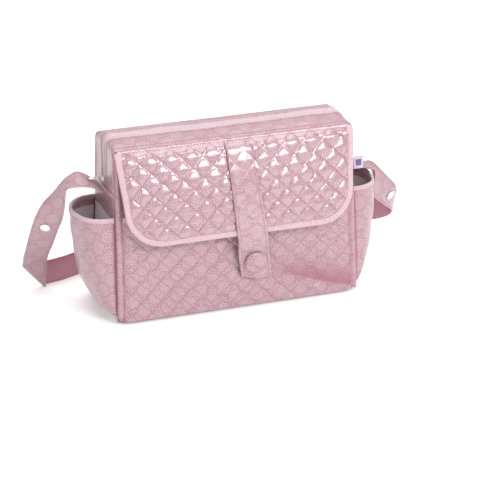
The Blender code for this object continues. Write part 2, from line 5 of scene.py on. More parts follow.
import bmesh
import bpy
import numpy as np
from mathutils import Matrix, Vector


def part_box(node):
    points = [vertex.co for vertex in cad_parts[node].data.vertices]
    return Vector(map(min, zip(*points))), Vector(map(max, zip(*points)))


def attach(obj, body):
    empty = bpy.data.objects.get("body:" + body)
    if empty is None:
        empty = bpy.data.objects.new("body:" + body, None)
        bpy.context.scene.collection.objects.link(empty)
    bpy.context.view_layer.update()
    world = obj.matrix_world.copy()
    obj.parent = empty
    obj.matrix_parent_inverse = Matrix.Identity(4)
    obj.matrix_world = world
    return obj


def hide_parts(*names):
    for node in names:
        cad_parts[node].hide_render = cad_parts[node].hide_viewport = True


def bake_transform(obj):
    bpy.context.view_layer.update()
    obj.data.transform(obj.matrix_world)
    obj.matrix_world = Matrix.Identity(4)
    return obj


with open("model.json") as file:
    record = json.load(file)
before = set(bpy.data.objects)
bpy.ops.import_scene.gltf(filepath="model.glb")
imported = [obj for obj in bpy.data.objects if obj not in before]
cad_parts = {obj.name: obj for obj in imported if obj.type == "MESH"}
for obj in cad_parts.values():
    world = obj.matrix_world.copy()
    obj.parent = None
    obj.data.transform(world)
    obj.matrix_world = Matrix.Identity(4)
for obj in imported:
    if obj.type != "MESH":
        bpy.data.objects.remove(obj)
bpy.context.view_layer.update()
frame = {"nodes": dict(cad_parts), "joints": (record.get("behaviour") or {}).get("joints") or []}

# ---------------------------------------------------------------- sizes from the frame

PANEL_LOW, PANEL_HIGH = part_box("front_panel")
JOINTS = {joint["name"]: joint for joint in frame["joints"]}

BASE_HALF_WIDTH, BASE_HALF_DEPTH, BASE_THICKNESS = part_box("base_panel")[1]
TOP_HALF_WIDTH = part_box("top_panel_front")[1].x
TOP_HALF_DEPTH = 0.051
PANEL_FOOT, SEAM_HEIGHT = PANEL_LOW.z, PANEL_HIGH.z
CROWN = 0.011
CORNER_RADIUS = 0.012
SEAM_CORNER = 0.0055        # the top turns its corners more sharply at its seams
FOOT_CORNER = 0.010
ZIP_END_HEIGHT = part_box("side_panel_left")[1].z
TAPE_HALF_WIDTH = 0.0115
TAPE_GAP = 0.0002            # between the tape and the cloth sewn beside it
ZIP_STITCH = TAPE_HALF_WIDTH + 0.0040
COIL_HALF_WIDTH = 0.0026
LID_SEAM = abs(JOINTS["lid_front_hinge"]["pos_m"][1])
ROLL = 0.005                 # how tightly a panel's edge turns into its seam
BACK_SEAM = 0.0135           # how far in from its edge the back panel is sewn
SIDE_INSET = 0.0022          # the side panels run in under the turned edges of the front and back
SIDE_EDGE = 0.003
TUCK_HEIGHT = 0.020          # the sides turn in towards the base over this height
SIDE_TUCK = 0.0040
BOTTLE_TUCK = 0.0045
LID_STITCH = 0.0065          # from the seam of the zipped top to its stitching
PATH_STITCHES = 160          # points along a long row of stitches
FLOOR_HALF_LENGTH = 0.1800   # the lining's floor stays inside the tucked side panels
FLOOR_HALF_DEPTH = 0.0605

# Quilting and print
DIAMOND_WIDTH = 0.0317
DIAMOND_HEIGHT = 0.0319
LINE_GAP = 1.0 / math.hypot(1.0 / DIAMOND_WIDTH, 1.0 / DIAMOND_HEIGHT)
# How the pattern lies on a piece: right, down, and down per metre across
FLAP_PRINT = (0.0088, 0.0006, 0.019)
POCKET_PRINT = (-0.0024, 0.0015, 0.0)
RING_SPACING = (0.01775, 0.01665, 1.0)
RING_ORIGIN = (0.0056, 0.0059, 0.0)
RINGS = ((0.0, 0.0011), (0.0031, 0.0006), (0.0056, 0.0006), (0.0082, 0.0006))     # radius and half width

# Front pocket
POCKET_INSET = 0.0095        # from the side seams
POCKET_MOUTH_HEIGHT = 0.160
POCKET_BULGE = 0.011
POCKET_STAND_OFF = 0.0045
POCKET_BINDING_HEIGHT = 0.008
POCKET_PUFF = 0.0012

# Bottle pockets
BOTTLE_MOUTH_HEIGHT = 0.158
BOTTLE_DEPTH = 0.144
BOTTLE_BULGE = 0.047
BOTTLE_HALF_LENGTH = 0.0575
BOTTLE_STAND_OFF = 0.0035
BOTTLE_BINDING_HEIGHT = 0.008
BOTTLE_END_GAP = 0.0004      # its ends lie close to the side panel
BOTTLE_END_INSET = 0.0030

# Flap
FLAP_HINGE = np.array(JOINTS["flap_hinge"]["pos_m"])
FLAP_TILT = math.radians(14.2)
FLAP_LENGTH = 0.143
FLAP_TOP_HALF_WIDTH = 0.187
FLAP_HALF_WIDTH = 0.179
FLAP_CORNER = 0.055
FLAP_BELLY = 0.0085
PUFF = 0.0028
BINDING_WIDTH = 0.0105
BINDING_HALF_THICKNESS = 0.0028

# The tab by its distance down from the flap's hinge: how far it stands out, how far it
# leans to the right, and half its width.
TAB_DROPS = (0.004, 0.060, 0.120, 0.143, 0.150, 0.160, 0.172, 0.195, 0.2130)
TAB_LIFTS = (0.0042, 0.0042, 0.0042, 0.0042, 0.0024, -0.0050, -0.0138, -0.0225, -0.0294)
TAB_SHIFTS = (0.0000, 0.0040, 0.0100, 0.0125, 0.0137, 0.0155, 0.0178, 0.0215, 0.0244)
TAB_HALF_WIDTHS = (0.0195, 0.0215, 0.0235, 0.0240, 0.0241, 0.0243, 0.0246, 0.0250, 0.0250)
TAB_TIP = 0.003
TAB_SKEW = 0.0034            # the right corner of its end hangs lower than the left one
TAB_HALF_THICKNESS = 0.0013
TAB_HALF = max(TAB_HALF_WIDTHS)
TAB_STITCH = 0.0206          # from its middle to the stitching along its sides
BUTTON_RADIUS = 0.0178
BUTTON_HEIGHT = 0.009
BUTTON_DROP = 0.1877

# Shoulder strap: middle points and lower-edge directions of the sections
STRAP_WIDTH = 0.040
STRAP_HALF_THICKNESS = 0.0014
STRAP_STITCH = 0.0033        # from its sides to their stitching
STRAP_JOINT = 5              # the section at which the strap's sewn-in ends stop
STRAP_OVERLAP = 0.03         # how far, in sections, they run on under the strap
STRAP_BEND_START = 0.017     # how far out from the bag the strap ends' blend starts
SNAP_SECTION = 4
SNAP_LIFT = 0.0017
SNAP_RADIUS = 0.0078
SNAP_CAP = [(0.0, 0.0030), (0.0030, 0.0029), (0.0048, 0.0025), (0.0056, 0.0019), (0.0060, 0.0018),
            (0.0066, 0.0021), (0.0074, 0.0017), (SNAP_RADIUS, 0.0009), (0.0075, 0.0002), (0.0, 0.0)]
SNAP_SOCKET = [(0.0, 0.0008), (0.0022, 0.0008), (0.0026, 0.0019), (0.0046, 0.0020),
               (0.0062, 0.0014), (SNAP_RADIUS, 0.0008), (0.0076, 0.0001), (0.0, 0.0)]
END_LEFT = [((-0.1905, 0.000, 0.1930), (0.00, -1.00, 0.00)),
            ((-0.1970, 0.000, 0.1985), (0.00, -1.00, -0.08)),
            ((-0.2070, 0.000, 0.2055), (0.00, -0.99, -0.15)),
            ((-0.2170, 0.000, 0.2105), (0.00, -0.97, -0.24)),
            ((-0.2270, 0.001, 0.2125), (0.00, -0.96, -0.27))]
END_RIGHT = [((0.1903, 0.000, 0.1918), (0.00, -1.00, 0.00)),
             ((0.1970, 0.001, 0.1900), (0.00, -1.00, 0.00)),
             ((0.2070, 0.002, 0.1865), (0.00, -1.00, 0.00)),
             ((0.2170, 0.004, 0.1820), (0.00, -1.00, 0.00)),
             ((0.2290, 0.007, 0.1765), (0.00, -1.00, 0.00))]
STRAP_LEFT = [((-0.2430, 0.003, 0.2076), (0.00, -1.00, -0.02)),
              ((-0.2535, 0.006, 0.1970), (0.20, -0.90, 0.28)),
              ((-0.2620, 0.016, 0.1720), (0.62, -0.76, 0.02)),
              ((-0.2665, 0.027, 0.1500), (0.84, -0.48, -0.20)),
              ((-0.2705, 0.041, 0.1280), (0.93, -0.26, -0.28)),
              ((-0.2740, 0.070, 0.0870), (0.98, -0.05, -0.20)),
              ((-0.2755, 0.090, 0.0620), (0.99, 0.05, -0.05)),
              ((-0.2755, 0.100, 0.0455), (0.98, 0.08, -0.15))]
STRAP_FOLD = [((-0.2765, 0.1045, 0.0212), (0.68, 0.04, -0.73)),
              ((-0.2725, 0.1090, 0.0210), (0.52, 0.10, -0.85)),
              ((-0.2600, 0.1120, 0.0207), (0.00, 0.00, -1.00))]
STRAP_FLOOR = [((-0.2280, 0.1200, 0.0207), (0.00, 0.00, -1.00)),
               ((-0.1940, 0.1350, 0.0207), (0.00, 0.00, -1.00)),
               ((-0.1400, 0.1570, 0.0207), (0.00, 0.00, -1.00)),
               ((-0.0500, 0.1790, 0.0207), (0.00, 0.00, -1.00)),
               ((0.0600, 0.1920, 0.0207), (0.00, 0.00, -1.00)),
               ((0.1700, 0.1980, 0.0207), (0.00, 0.00, -1.00)),
               ((0.2500, 0.1860, 0.0235), (0.00, -0.10, -1.00))]
STRAP_RIGHT = [((0.2960, 0.1500, 0.0370), (-0.05, -0.05, -1.00)),
               ((0.3170, 0.1080, 0.0570), (0.00, 0.10, -1.00)),
               ((0.3135, 0.0720, 0.0790), (0.00, 0.30, -0.95)),
               ((0.2940, 0.0450, 0.1035), (-0.38, 0.20, -0.87)),
               ((0.2735, 0.0310, 0.1235), (-0.55, -0.10, -0.80)),
               ((0.2560, 0.0200, 0.1480), (-0.30, -0.45, -0.84)),
               ((0.2490, 0.0140, 0.1620), (-0.08, -0.85, -0.50)),
               ((0.2430, 0.0103, 0.1715), (0.00, -1.00, -0.03))]
FOLD_STRETCH = (1.33, 1.15, 1.00)

# Camera and studio
CAMERA_TARGET = Vector((0.0278, -0.0379, 0.0784))
CAMERA_AZIMUTH = math.radians(-19.7)
CAMERA_ELEVATION = math.radians(23.15)
CAMERA_DISTANCE = 3.05
CAMERA_LENS = 144.0


# ---------------------------------------------------------------- numbers and shapes

def half_width(z):
    return BASE_HALF_WIDTH + (TOP_HALF_WIDTH - BASE_HALF_WIDTH) * z / SEAM_HEIGHT


def half_depth(z):
    return BASE_HALF_DEPTH + (TOP_HALF_DEPTH - BASE_HALF_DEPTH) * z / SEAM_HEIGHT


def inner_depth(z):
    return half_depth(z) - 0.0048


def crown(y):
    return CROWN * (1.0 - (y / TOP_HALF_DEPTH) ** 2)


def smoothstep(low, high, value):
    t = np.clip((value - low) / (high - low), 0.0, 1.0)
    return t * t * (3.0 - 2.0 * t)


def bump(value, low, high):
    """A smooth hump between low and high, 1 at its middle and 0 outside."""
    t = np.clip((value - low) / (high - low), 0.0, 1.0)
    return np.sin(np.pi * t) ** 2


def roll(distance, radius=ROLL):
    """How far a surface has fallen away at this distance from its edge, as a quarter circle."""
    near = np.clip(radius - distance, 0.0, radius)
    return radius - np.sqrt(np.maximum(radius ** 2 - near ** 2, 0.0))


def ripple(u, v, wavelength, seed, waves=7):
    """Smooth unevenness from -1 to 1 with roughly the given wavelength."""
    random = np.random.default_rng(seed)
    total = 0.0
    for _ in range(waves):
        angle, phase = random.uniform(0.0, 2.0 * np.pi, 2)
        length = wavelength * random.uniform(0.7, 1.5)
        total = total + np.sin(2.0 * np.pi * (u * np.cos(angle) + v * np.sin(angle)) / length + phase)
    return total / math.sqrt(2.0 * waves)


def on_print(lie, u, v):
    """Place on the quilted and printed cloth, by the place on the piece cut from it."""
    return u + lie[0], v + lie[1] + lie[2] * u


def quilt(u, v):
    """Pillow height from 0 at the sewn diamond lines to 1 in the middle of a diamond."""
    a = u / DIAMOND_WIDTH + v / DIAMOND_HEIGHT
    b = u / DIAMOND_WIDTH - v / DIAMOND_HEIGHT
    return np.sqrt(np.abs(np.sin(np.pi * a) * np.sin(np.pi * b)) + 1e-9)


def graded(low, high, step, edge, count=5):
    """Positions from low to high, closer together over the edge distance at both ends."""
    inside = edge * (1.0 - np.cos(np.linspace(0.0, 0.5 * np.pi, count + 1)))
    middle = np.linspace(low + edge, high - edge, max(2, int(round((high - low - 2.0 * edge) / step)) + 1))
    return np.concatenate([low + inside[:-1], middle, (high - inside[:-1])[::-1]])


def catmull(stations, values, at):
    """Catmull-Rom interpolation through rising stations, at an array of places."""
    stations = np.asarray(stations, float)
    values = np.asarray(values, float)
    at = np.asarray(at, float)
    last = len(stations) - 1
    index = np.clip(np.searchsorted(stations, at, side="right") - 1, 0, last - 1)
    before, after = values[np.maximum(index - 1, 0)], values[np.minimum(index + 2, last)]
    start, end = values[index], values[index + 1]
    t = (at - stations[index]) / (stations[index + 1] - stations[index])
    if values.ndim > 1:
        t = t[..., None]
    return 0.5 * (2.0 * start + (end - before) * t + (2.0 * before - 5.0 * start + 4.0 * end - after) * t ** 2
                  + (3.0 * start - before - 3.0 * end + after) * t ** 3)


def unit(vectors):
    return vectors / np.maximum(np.linalg.norm(vectors, axis=-1, keepdims=True), 1e-12)


def join(x, y, z):
    return np.stack(np.broadcast_arrays(x, y, z), axis=-1).astype(float)


def lengths_along(points):
    """Distance of every point from the first one, along the path."""
    return np.concatenate([[0.0], np.cumsum(np.linalg.norm(np.diff(points, axis=0), axis=1))])


def facing_front(out):
    """Directions turned round where they point backwards."""
    return np.where(out[..., 1:2] > 0.0, -out, out)


def grid_normals(points):
    """Unit normals of a grid of points, rows by columns."""
    return unit(np.cross(np.gradient(points, axis=1), np.gradient(points, axis=0)))


# ---------------------------------------------------------------- making pieces

def add_object(name, data):
    item = bpy.data.objects.new(name, data)
    bpy.context.scene.collection.objects.link(item)
    return item


def set_cloth(mesh, places):
    """Give every vertex its place on the cloth, which the materials read."""
    layer = mesh.attributes.new("cloth", "FLOAT_VECTOR", "POINT")
    layer.data.foreach_set("vector", np.asarray(places, np.float32).ravel())


def new_piece(name, vertices, faces, materials, indices=None, cloth=None, seam=None):
    mesh = bpy.data.meshes.new(name)
    mesh.from_pydata(np.asarray(vertices).reshape(-1, 3).tolist(), [], faces)
    mesh.update()
    mesh.shade_smooth()
    for material in materials:
        mesh.materials.append(material)
    if indices is not None:
        mesh.polygons.foreach_set("material_index", np.asarray(indices, np.int32))
    if cloth is not None:
        set_cloth(mesh, cloth)
    # The seam attribute is 1 on sewn lines and also holds painted shade, above the front pocket's crease.
    if seam is not None:
        layer = mesh.attributes.new("seam", "FLOAT", "POINT")
        layer.data.foreach_set("value", np.asarray(seam, np.float32).ravel())
    return add_object(name, mesh)


def finish_build(name, build, material, sharp):
    """A piece from a bmesh, smooth but for edges turning more than the given degrees."""
    mesh = bpy.data.meshes.new(name)
    build.to_mesh(mesh)
    build.free()
    mesh.materials.append(material)
    mesh.shade_smooth()
    mesh.set_sharp_from_angle(angle=math.radians(sharp))
    return add_object(name, mesh)


def quads(rows, columns, closed=False, start=0):
    """Faces of a grid of vertices numbered row by row."""
    row, column = np.meshgrid(np.arange(rows - 1), np.arange(columns if closed else columns - 1), indexing="ij")
    nxt = (column + 1) % columns
    here, below = row * columns, (row + 1) * columns
    corners = [here + column, here + nxt, below + nxt, below + column]
    return (np.stack(corners, axis=-1).reshape(-1, 4) + start).tolist()


TURNED_IN = 3


def sheet(name, form, u, v, thickness, outer, inner=None, seam=None, outward=None, joins=(),
          lie=(0.0, 0.0, 0.0)):
    """A piece of fabric: form(u, v) gives its outer face, and its rim is rounded.

    u and v are two grids of places on the cloth in metres. seam, where given, is a grid that
    is 1 on a sewn line and also carries painted shade where a piece adds it. outward is a direction
    that the outer face looks towards. joins names the ends, "start" or "end" of the rows, where another
    piece carries on: those stay square. lie is how the printed and quilted cloth lies on the piece. With
    an inner material the outer one is turned in over the edges, TURNED_IN faces wide.
    """
    points = form(u, v)
    normals = grid_normals(points)
    if outward is not None and np.sum(normals * np.asarray(outward, float)) < 0.0:
        u, v, points = u[:, ::-1], v[:, ::-1], points[:, ::-1]
        seam = None if seam is None else seam[:, ::-1]
        normals = -normals[:, ::-1]
    rows, columns = u.shape
    back = points - normals * thickness
    loop = [(0, c) for c in range(columns)] + [(r, columns - 1) for r in range(1, rows)]
    loop += [(rows - 1, c) for c in range(columns - 2, -1, -1)] + [(r, 0) for r in range(rows - 2, 0, -1)]
    edge = np.array(loop)
    inside = points[np.clip(edge[:, 0], 1, rows - 2), np.clip(edge[:, 1], 1, columns - 2)]
    rim = points[edge[:, 0], edge[:, 1]]
    normal = normals[edge[:, 0], edge[:, 1]]
    away = rim - inside
    away = unit(away - normal * np.sum(away * normal, axis=1, keepdims=True))
    joined = np.zeros(len(edge), bool)
    if "start" in joins:
        joined |= edge[:, 0] == 0
    if "end" in joins:
        joined |= edge[:, 0] == rows - 1
    middle = rim - normal * 0.5 * thickness + away * 0.4 * thickness * ~joined[:, None]
    vertices = np.concatenate([points.reshape(-1, 3), back.reshape(-1, 3), middle])
    count = rows * columns
    front = quads(rows, columns)
    behind = [face[::-1] for face in quads(rows, columns, start=count)]
    number = edge[:, 0] * columns + edge[:, 1]
    total = len(loop)
    turned_rim = []
    for i in range(total):
        j = (i + 1) % total
        a, b, m, n = int(number[i]), int(number[j]), 2 * count + i, 2 * count + j
        turned_rim.append([b, a, m, n])
        turned_rim.append([n, m, a + count, b + count])
    cloth = join(*on_print(lie, u, v), 0.0).reshape(-1, 3)
    cloth = np.concatenate([cloth, cloth, cloth[number]])
    seam_and_shade_flag = np.zeros(count) if seam is None else seam.reshape(-1)
    seam_and_shade_flag = np.concatenate([seam_and_shade_flag, seam_and_shade_flag, seam_and_shade_flag[number]])
    materials = [outer] if inner is None else [outer, inner]
    indices = None
    if inner is not None:
        row, column = np.divmod(np.arange(len(front)), columns - 1)
        from_edge = np.minimum(np.minimum(row, rows - 2 - row), np.minimum(column, columns - 2 - column))
        turned_in = from_edge < TURNED_IN
        indices = [0] * len(front) + np.where(turned_in, 0, 1).tolist() + [0] * len(turned_rim)
    item = new_piece(name, vertices, front + behind + turned_rim, materials, indices, cloth, seam_and_shade_flag)
    if joined.any():
        side = np.zeros(len(vertices), int)
        for bit, row, word in ((1, 0, "start"), (2, rows - 1, "end")):
            if word in joins:
                ends = row * columns + np.arange(columns)
                side[ends] |= bit
                side[ends + count] |= bit
        pairs = np.zeros(2 * len(item.data.edges), np.int32)
        item.data.edges.foreach_get("vertices", pairs)
        sharp = (side[pairs[0::2]] & side[pairs[1::2]]) != 0
        layer = item.data.attributes.new("sharp_edge", "BOOLEAN", "EDGE")
        layer.data.foreach_set("value", sharp)
    return item


def band(name, centre, across, half_width_at, half_thickness, outer, inner=None, columns=26, relief=None):
    """A flat strip with rounded edges along a row of centre points.

    across is the unit direction of its width at each point. relief(s, t) raises its outer face, where
    s is the distance along it and t runs over its width from -1 to 1.
    """
    centre = np.asarray(centre, float)
    across = unit(np.asarray(across, float))
    half_width_at = np.broadcast_to(np.asarray(half_width_at, float), (len(centre),))
    along = np.gradient(centre, axis=0)
    out = unit(np.cross(along, across))
    distance = lengths_along(centre)
    angle = 2.0 * np.pi * np.arange(columns) / columns
    wide = np.sign(np.cos(angle)) * np.abs(np.cos(angle)) ** 0.45
    deep = np.sign(np.sin(angle)) * np.abs(np.sin(angle)) ** 0.75
    lift = half_thickness * deep[None, :] * np.ones((len(centre), 1))
    if relief is not None:
        s, t = np.meshgrid(distance, wide, indexing="ij")
        lift = lift + np.where(np.abs(deep)[None, :] > 0.2, 1.0, 0.5) * relief(s, t)
    span = half_width_at[:, None] * wide[None, :]
    points = centre[:, None, :] + across[:, None, :] * span[..., None] + out[:, None, :] * lift[..., None]
    rows = len(centre)
    faces = [face[::-1] for face in quads(rows, columns, closed=True)]
    index = [0 if deep[c] + deep[(c + 1) % columns] >= 0.0 else 1 for c in range(columns)] * (rows - 1)
    faces.append(list(range(columns)))
    faces.append([(rows - 1) * columns + c for c in range(columns - 1, -1, -1)])
    index += [0, 0]
    cloth = join(span, np.broadcast_to(distance[:, None], span.shape), 0.0)
    materials = [outer] if inner is None else [outer, inner]
    item = new_piece(name, points, faces, materials, index if inner is not None else None, cloth,
                     np.zeros(points.shape[:2]))
    fix_normals(item)
    return item


def fix_normals(item, merge=0.0):
    """Turn every face outwards, after joining vertices closer than merge."""
    build = bmesh.new()
    build.from_mesh(item.data)
    if merge:
        bmesh.ops.remove_doubles(build, verts=build.verts, dist=merge)
    bmesh.ops.recalc_face_normals(build, faces=build.faces)
    build.to_mesh(item.data)
    build.free()


def turned(name, profile, centre, axis, material, segments=48, pleats=0, pleat_depth=0.0):
    """A profile of (radius, height) points from the top centre to the bottom centre, turned about axis."""
    axis = Vector(axis).normalized()
    turn = axis.to_track_quat("Z", "Y").to_matrix()
    radius, height = np.array(profile).T
    angle = 2.0 * np.pi * np.arange(segments) / segments
    wave = 1.0 + pleat_depth * np.cos(pleats * angle)[None, :] * (radius[:, None] / radius.max()) ** 5
    flat = join(radius[:, None] * np.cos(angle) * wave, radius[:, None] * np.sin(angle) * wave,
                height[:, None] + 0.0 * angle)
    points = flat @ np.array(turn).T + np.asarray(centre, float)
    item = new_piece(name, points, quads(len(radius), segments, closed=True), [material],
                     cloth=flat * np.array([1.0, 1.0, 0.0]))
    fix_normals(item, merge=1e-6)
    return item


def dome(radius, height, rim, steps):
    """Profile of a domed disc with a rounded lower rim, from the top centre to the bottom centre."""
    angles = np.linspace(0.0, 0.5 * np.pi, steps)
    top = [(radius * math.sin(a), rim + (height - rim) * math.cos(a) ** 0.9) for a in angles]
    under = [(radius - 0.4 * rim, 0.3 * rim), (radius - rim, 0.0), (0.0, 0.0)]
    return top + under


STITCH = 0.0028
STITCH_PITCH = 0.0037
STITCH_RADIUS = 0.00032
STITCH_SINK = 0.00012        # how far a stitch's ends go into the cloth
STITCH_SIDES = 6


def stitches(name, paths):
    """Short threads along paths. Each path is a row of points and a row of outward directions."""
    angle = 2.0 * np.pi * np.arange(STITCH_SIDES) / STITCH_SIDES
    share = np.array([0.0, 0.12, 0.5, 0.88, 1.0])
    girth = np.array([0.35, 0.9, 1.0, 0.9, 0.35])
    rise = np.array([-1.0, 0.3, 1.0, 0.3, -1.0]) * STITCH_SINK
    vertices, faces = [], []
    for points, outs in paths:
        distance = lengths_along(points)
        starts = np.arange(0.5 * STITCH_PITCH, distance[-1] - STITCH, STITCH_PITCH)

        def at(values, where):
            return np.stack([np.interp(where, distance, values[:, k]) for k in range(3)], axis=-1)

        for start in starts:
            where = start + share * STITCH
            middle = at(points, where)
            out = unit(at(outs, where))
            along = unit(middle[-1:] - middle[:1])
            side = unit(np.cross(along, out))
            middle = middle + out * (rise[:, None] + 0.5 * STITCH_RADIUS)
            across, up = np.cos(angle)[None, :, None], np.sin(angle)[None, :, None]
            ring = side[:, None, :] * across + out[:, None, :] * up
            ring = middle[:, None, :] + ring * (girth * STITCH_RADIUS)[:, None, None]
            rows = len(share)
            base = len(vertices) * rows * STITCH_SIDES
            last = base + (rows - 1) * STITCH_SIDES
            vertices.append(ring.reshape(-1, 3))
            faces += quads(rows, STITCH_SIDES, closed=True, start=base)
            faces.append(list(range(base + STITCH_SIDES - 1, base - 1, -1)))
            faces.append(list(range(last, last + STITCH_SIDES)))
    item = new_piece(name, np.concatenate(vertices), faces, [THREAD])
    fix_normals(item)
    return item


def on_surface(form, u, v, lift=0.0, outward=None):
    """A path over a form with its outward directions, for stitches."""
    u, v = np.broadcast_arrays(np.asarray(u, float), np.asarray(v, float))
    step = 0.0006
    points = form(u, v)
    out = unit(np.cross(form(u + step, v) - form(u - step, v), form(u, v + step) - form(u, v - step)))
    if outward is not None and np.sum(out * np.asarray(outward, float)) < 0.0:
        out = -out
    return points + out * lift, out


def ride(item, body, slot_name, *nodes):
    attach(item, body)
    if nodes:
        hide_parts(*nodes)
    return item


def sew(name, paths, body="root"):
    ride(stitches(name, paths), body, "bias_binding")


def blend(item, child, start, end, slot_name, *nodes):
    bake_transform(item)
    if nodes:
        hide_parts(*nodes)
    return item


# ---------------------------------------------------------------- materials

def colour(red, green, blue):
    """Scene-linear colour from display values of 0 to 255."""
    values = [c / 255.0 for c in (red, green, blue)]
    return tuple(c / 12.92 if c <= 0.04045 else ((c + 0.055) / 1.055) ** 2.4 for c in values) + (1.0,)


class Shader:
    """One procedural material under construction."""

    def __init__(self, name, **settings):
        self.material = bpy.data.materials.new(name)
        self.material.use_nodes = True
        self.tree = self.material.node_tree
        self.surface = self.tree.nodes["Principled BSDF"]
        for key, value in settings.items():
            self.surface.inputs[key.replace("_", " ").title()].default_value = value

    def node(self, kind, **fixed):
        item = self.tree.nodes.new("ShaderNode" + kind)
        for key, value in fixed.items():
            setattr(item, key, value)
        return item

    def feed(self, socket, value):
        if isinstance(value, bpy.types.NodeSocket):
            self.tree.links.new(value, socket)
        else:
            socket.default_value = value

    def math(self, operation, *values):
        item = self.node("Math", operation=operation)
        for socket, value in zip(item.inputs, values):
            self.feed(socket, value)
        return item.outputs[0]

    def vector(self, operation, *values):
        item = self.node("VectorMath", operation=operation)
        for socket, value in zip(item.inputs, values):
            self.feed(socket, value)
        return item.outputs["Value" if operation == "LENGTH" else "Vector"]

    def attribute(self, name, output):
        return self.node("Attribute", attribute_name=name).outputs[output]

    def cloth(self):
        return self.attribute("cloth", "Vector")

    def split(self, vector):
        item = self.node("SeparateXYZ")
        self.feed(item.inputs[0], vector)
        return item.outputs[0], item.outputs[1]

    def merge(self, x, y):
        item = self.node("CombineXYZ")
        self.feed(item.inputs[0], x)
        self.feed(item.inputs[1], y)
        return item.outputs[0]

    def ramp(self, value, low, high, to_low=0.0, to_high=1.0):
        item = self.node("MapRange", interpolation_type="SMOOTHSTEP")
        for key, amount in zip(("Value", "From Min", "From Max", "To Min", "To Max"),
                               (value, low, high, to_low, to_high)):
            self.feed(item.inputs[key], amount)
        return item.outputs[0]

    def noise(self, scale, detail=2.0, vector=None, roughness=0.5):
        item = self.node("TexNoise")
        self.feed(item.inputs["Vector"], self.cloth() if vector is None else vector)
        self.feed(item.inputs["Scale"], scale)
        self.feed(item.inputs["Detail"], detail)
        self.feed(item.inputs["Roughness"], roughness)
        return item.outputs[0]

    def mix(self, share, first, second):
        item = self.node("Mix", data_type="RGBA")
        self.feed(item.inputs[0], share)
        self.feed(item.inputs[6], first)
        self.feed(item.inputs[7], second)
        return item.outputs[2]

    def finish(self, base=None, rough=None, height=None, distance=0.0003, strength=0.5):
        if base is not None:
            self.feed(self.surface.inputs["Base Color"], base)
        if rough is not None:
            self.feed(self.surface.inputs["Roughness"], rough)
        if height is not None:
            item = self.node("Bump")
            item.inputs["Strength"].default_value = strength
            item.inputs["Distance"].default_value = distance
            self.feed(item.inputs["Height"], height)
            self.feed(self.surface.inputs["Normal"], item.outputs[0])
        return self.material


def lattice(shader, shift):
    """Offset in metres from the nearest place of a staggered lattice."""
    origin = (RING_ORIGIN[0] + shift * RING_SPACING[0], RING_ORIGIN[1], 0.0)
    place = shader.vector("SUBTRACT", shader.cloth(), origin)
    x, y = shader.split(shader.vector("DIVIDE", place, RING_SPACING))
    p = shader.math("ROUND", shader.math("MULTIPLY", shader.math("ADD", x, y), 0.5))
    q = shader.math("ROUND", shader.math("MULTIPLY", shader.math("SUBTRACT", x, y), 0.5))
    centre = shader.merge(shader.math("ADD", p, q), shader.math("SUBTRACT", p, q))
    return shader.vector("SUBTRACT", place, shader.vector("MULTIPLY", centre, RING_SPACING))


def ring_print(shader):
    """Share of pale ink: rings on a staggered lattice, with dots and dashes between them."""
    radius = shader.vector("LENGTH", lattice(shader, 0.0))
    ink = 0.0
    for ring, half in RINGS:
        away = shader.math("ABSOLUTE", shader.math("SUBTRACT", radius, ring))
        ink = shader.math("MAXIMUM", ink, shader.ramp(away, 0.5 * half, 1.3 * half, 1.0, 0.0))
    between = lattice(shader, 1.0)
    dot = shader.ramp(shader.vector("LENGTH", between), 0.0006, 0.0013, 1.0, 0.0)
    x, y = shader.split(between)
    reach = shader.math("ABSOLUTE", shader.math("SUBTRACT", shader.math("ABSOLUTE", x), 0.0042))
    dash = shader.math("MULTIPLY", shader.ramp(reach, 0.0013, 0.0018, 1.0, 0.0),
                       shader.ramp(shader.math("ABSOLUTE", y), 0.0002, 0.0005, 1.0, 0.0))
    return shader.math("MAXIMUM", ink, shader.math("MAXIMUM", dot, dash))


def sewn_distance(shader):
    """Distance in metres from the nearest sewn line of the diamonds."""
    x, y = shader.split(shader.vector("DIVIDE", shader.cloth(), (DIAMOND_WIDTH, DIAMOND_HEIGHT, 1.0)))
    gaps = []
    for operation in ("ADD", "SUBTRACT"):
        place = shader.math(operation, x, y)
        gaps.append(shader.math("ABSOLUTE", shader.math("SUBTRACT", place, shader.math("ROUND", place))))
    return shader.math("MULTIPLY", shader.math("MINIMUM", *gaps), LINE_GAP)


def weave(shader, pitch):
    """Height of a plain weave with the given distance between threads."""
    x, y = shader.split(shader.cloth())
    warp = shader.math("SINE", shader.math("MULTIPLY", x, 2.0 * math.pi / pitch))
    weft = shader.math("SINE", shader.math("MULTIPLY", y, 2.0 * math.pi / pitch))
    return shader.math("MULTIPLY", warp, weft)


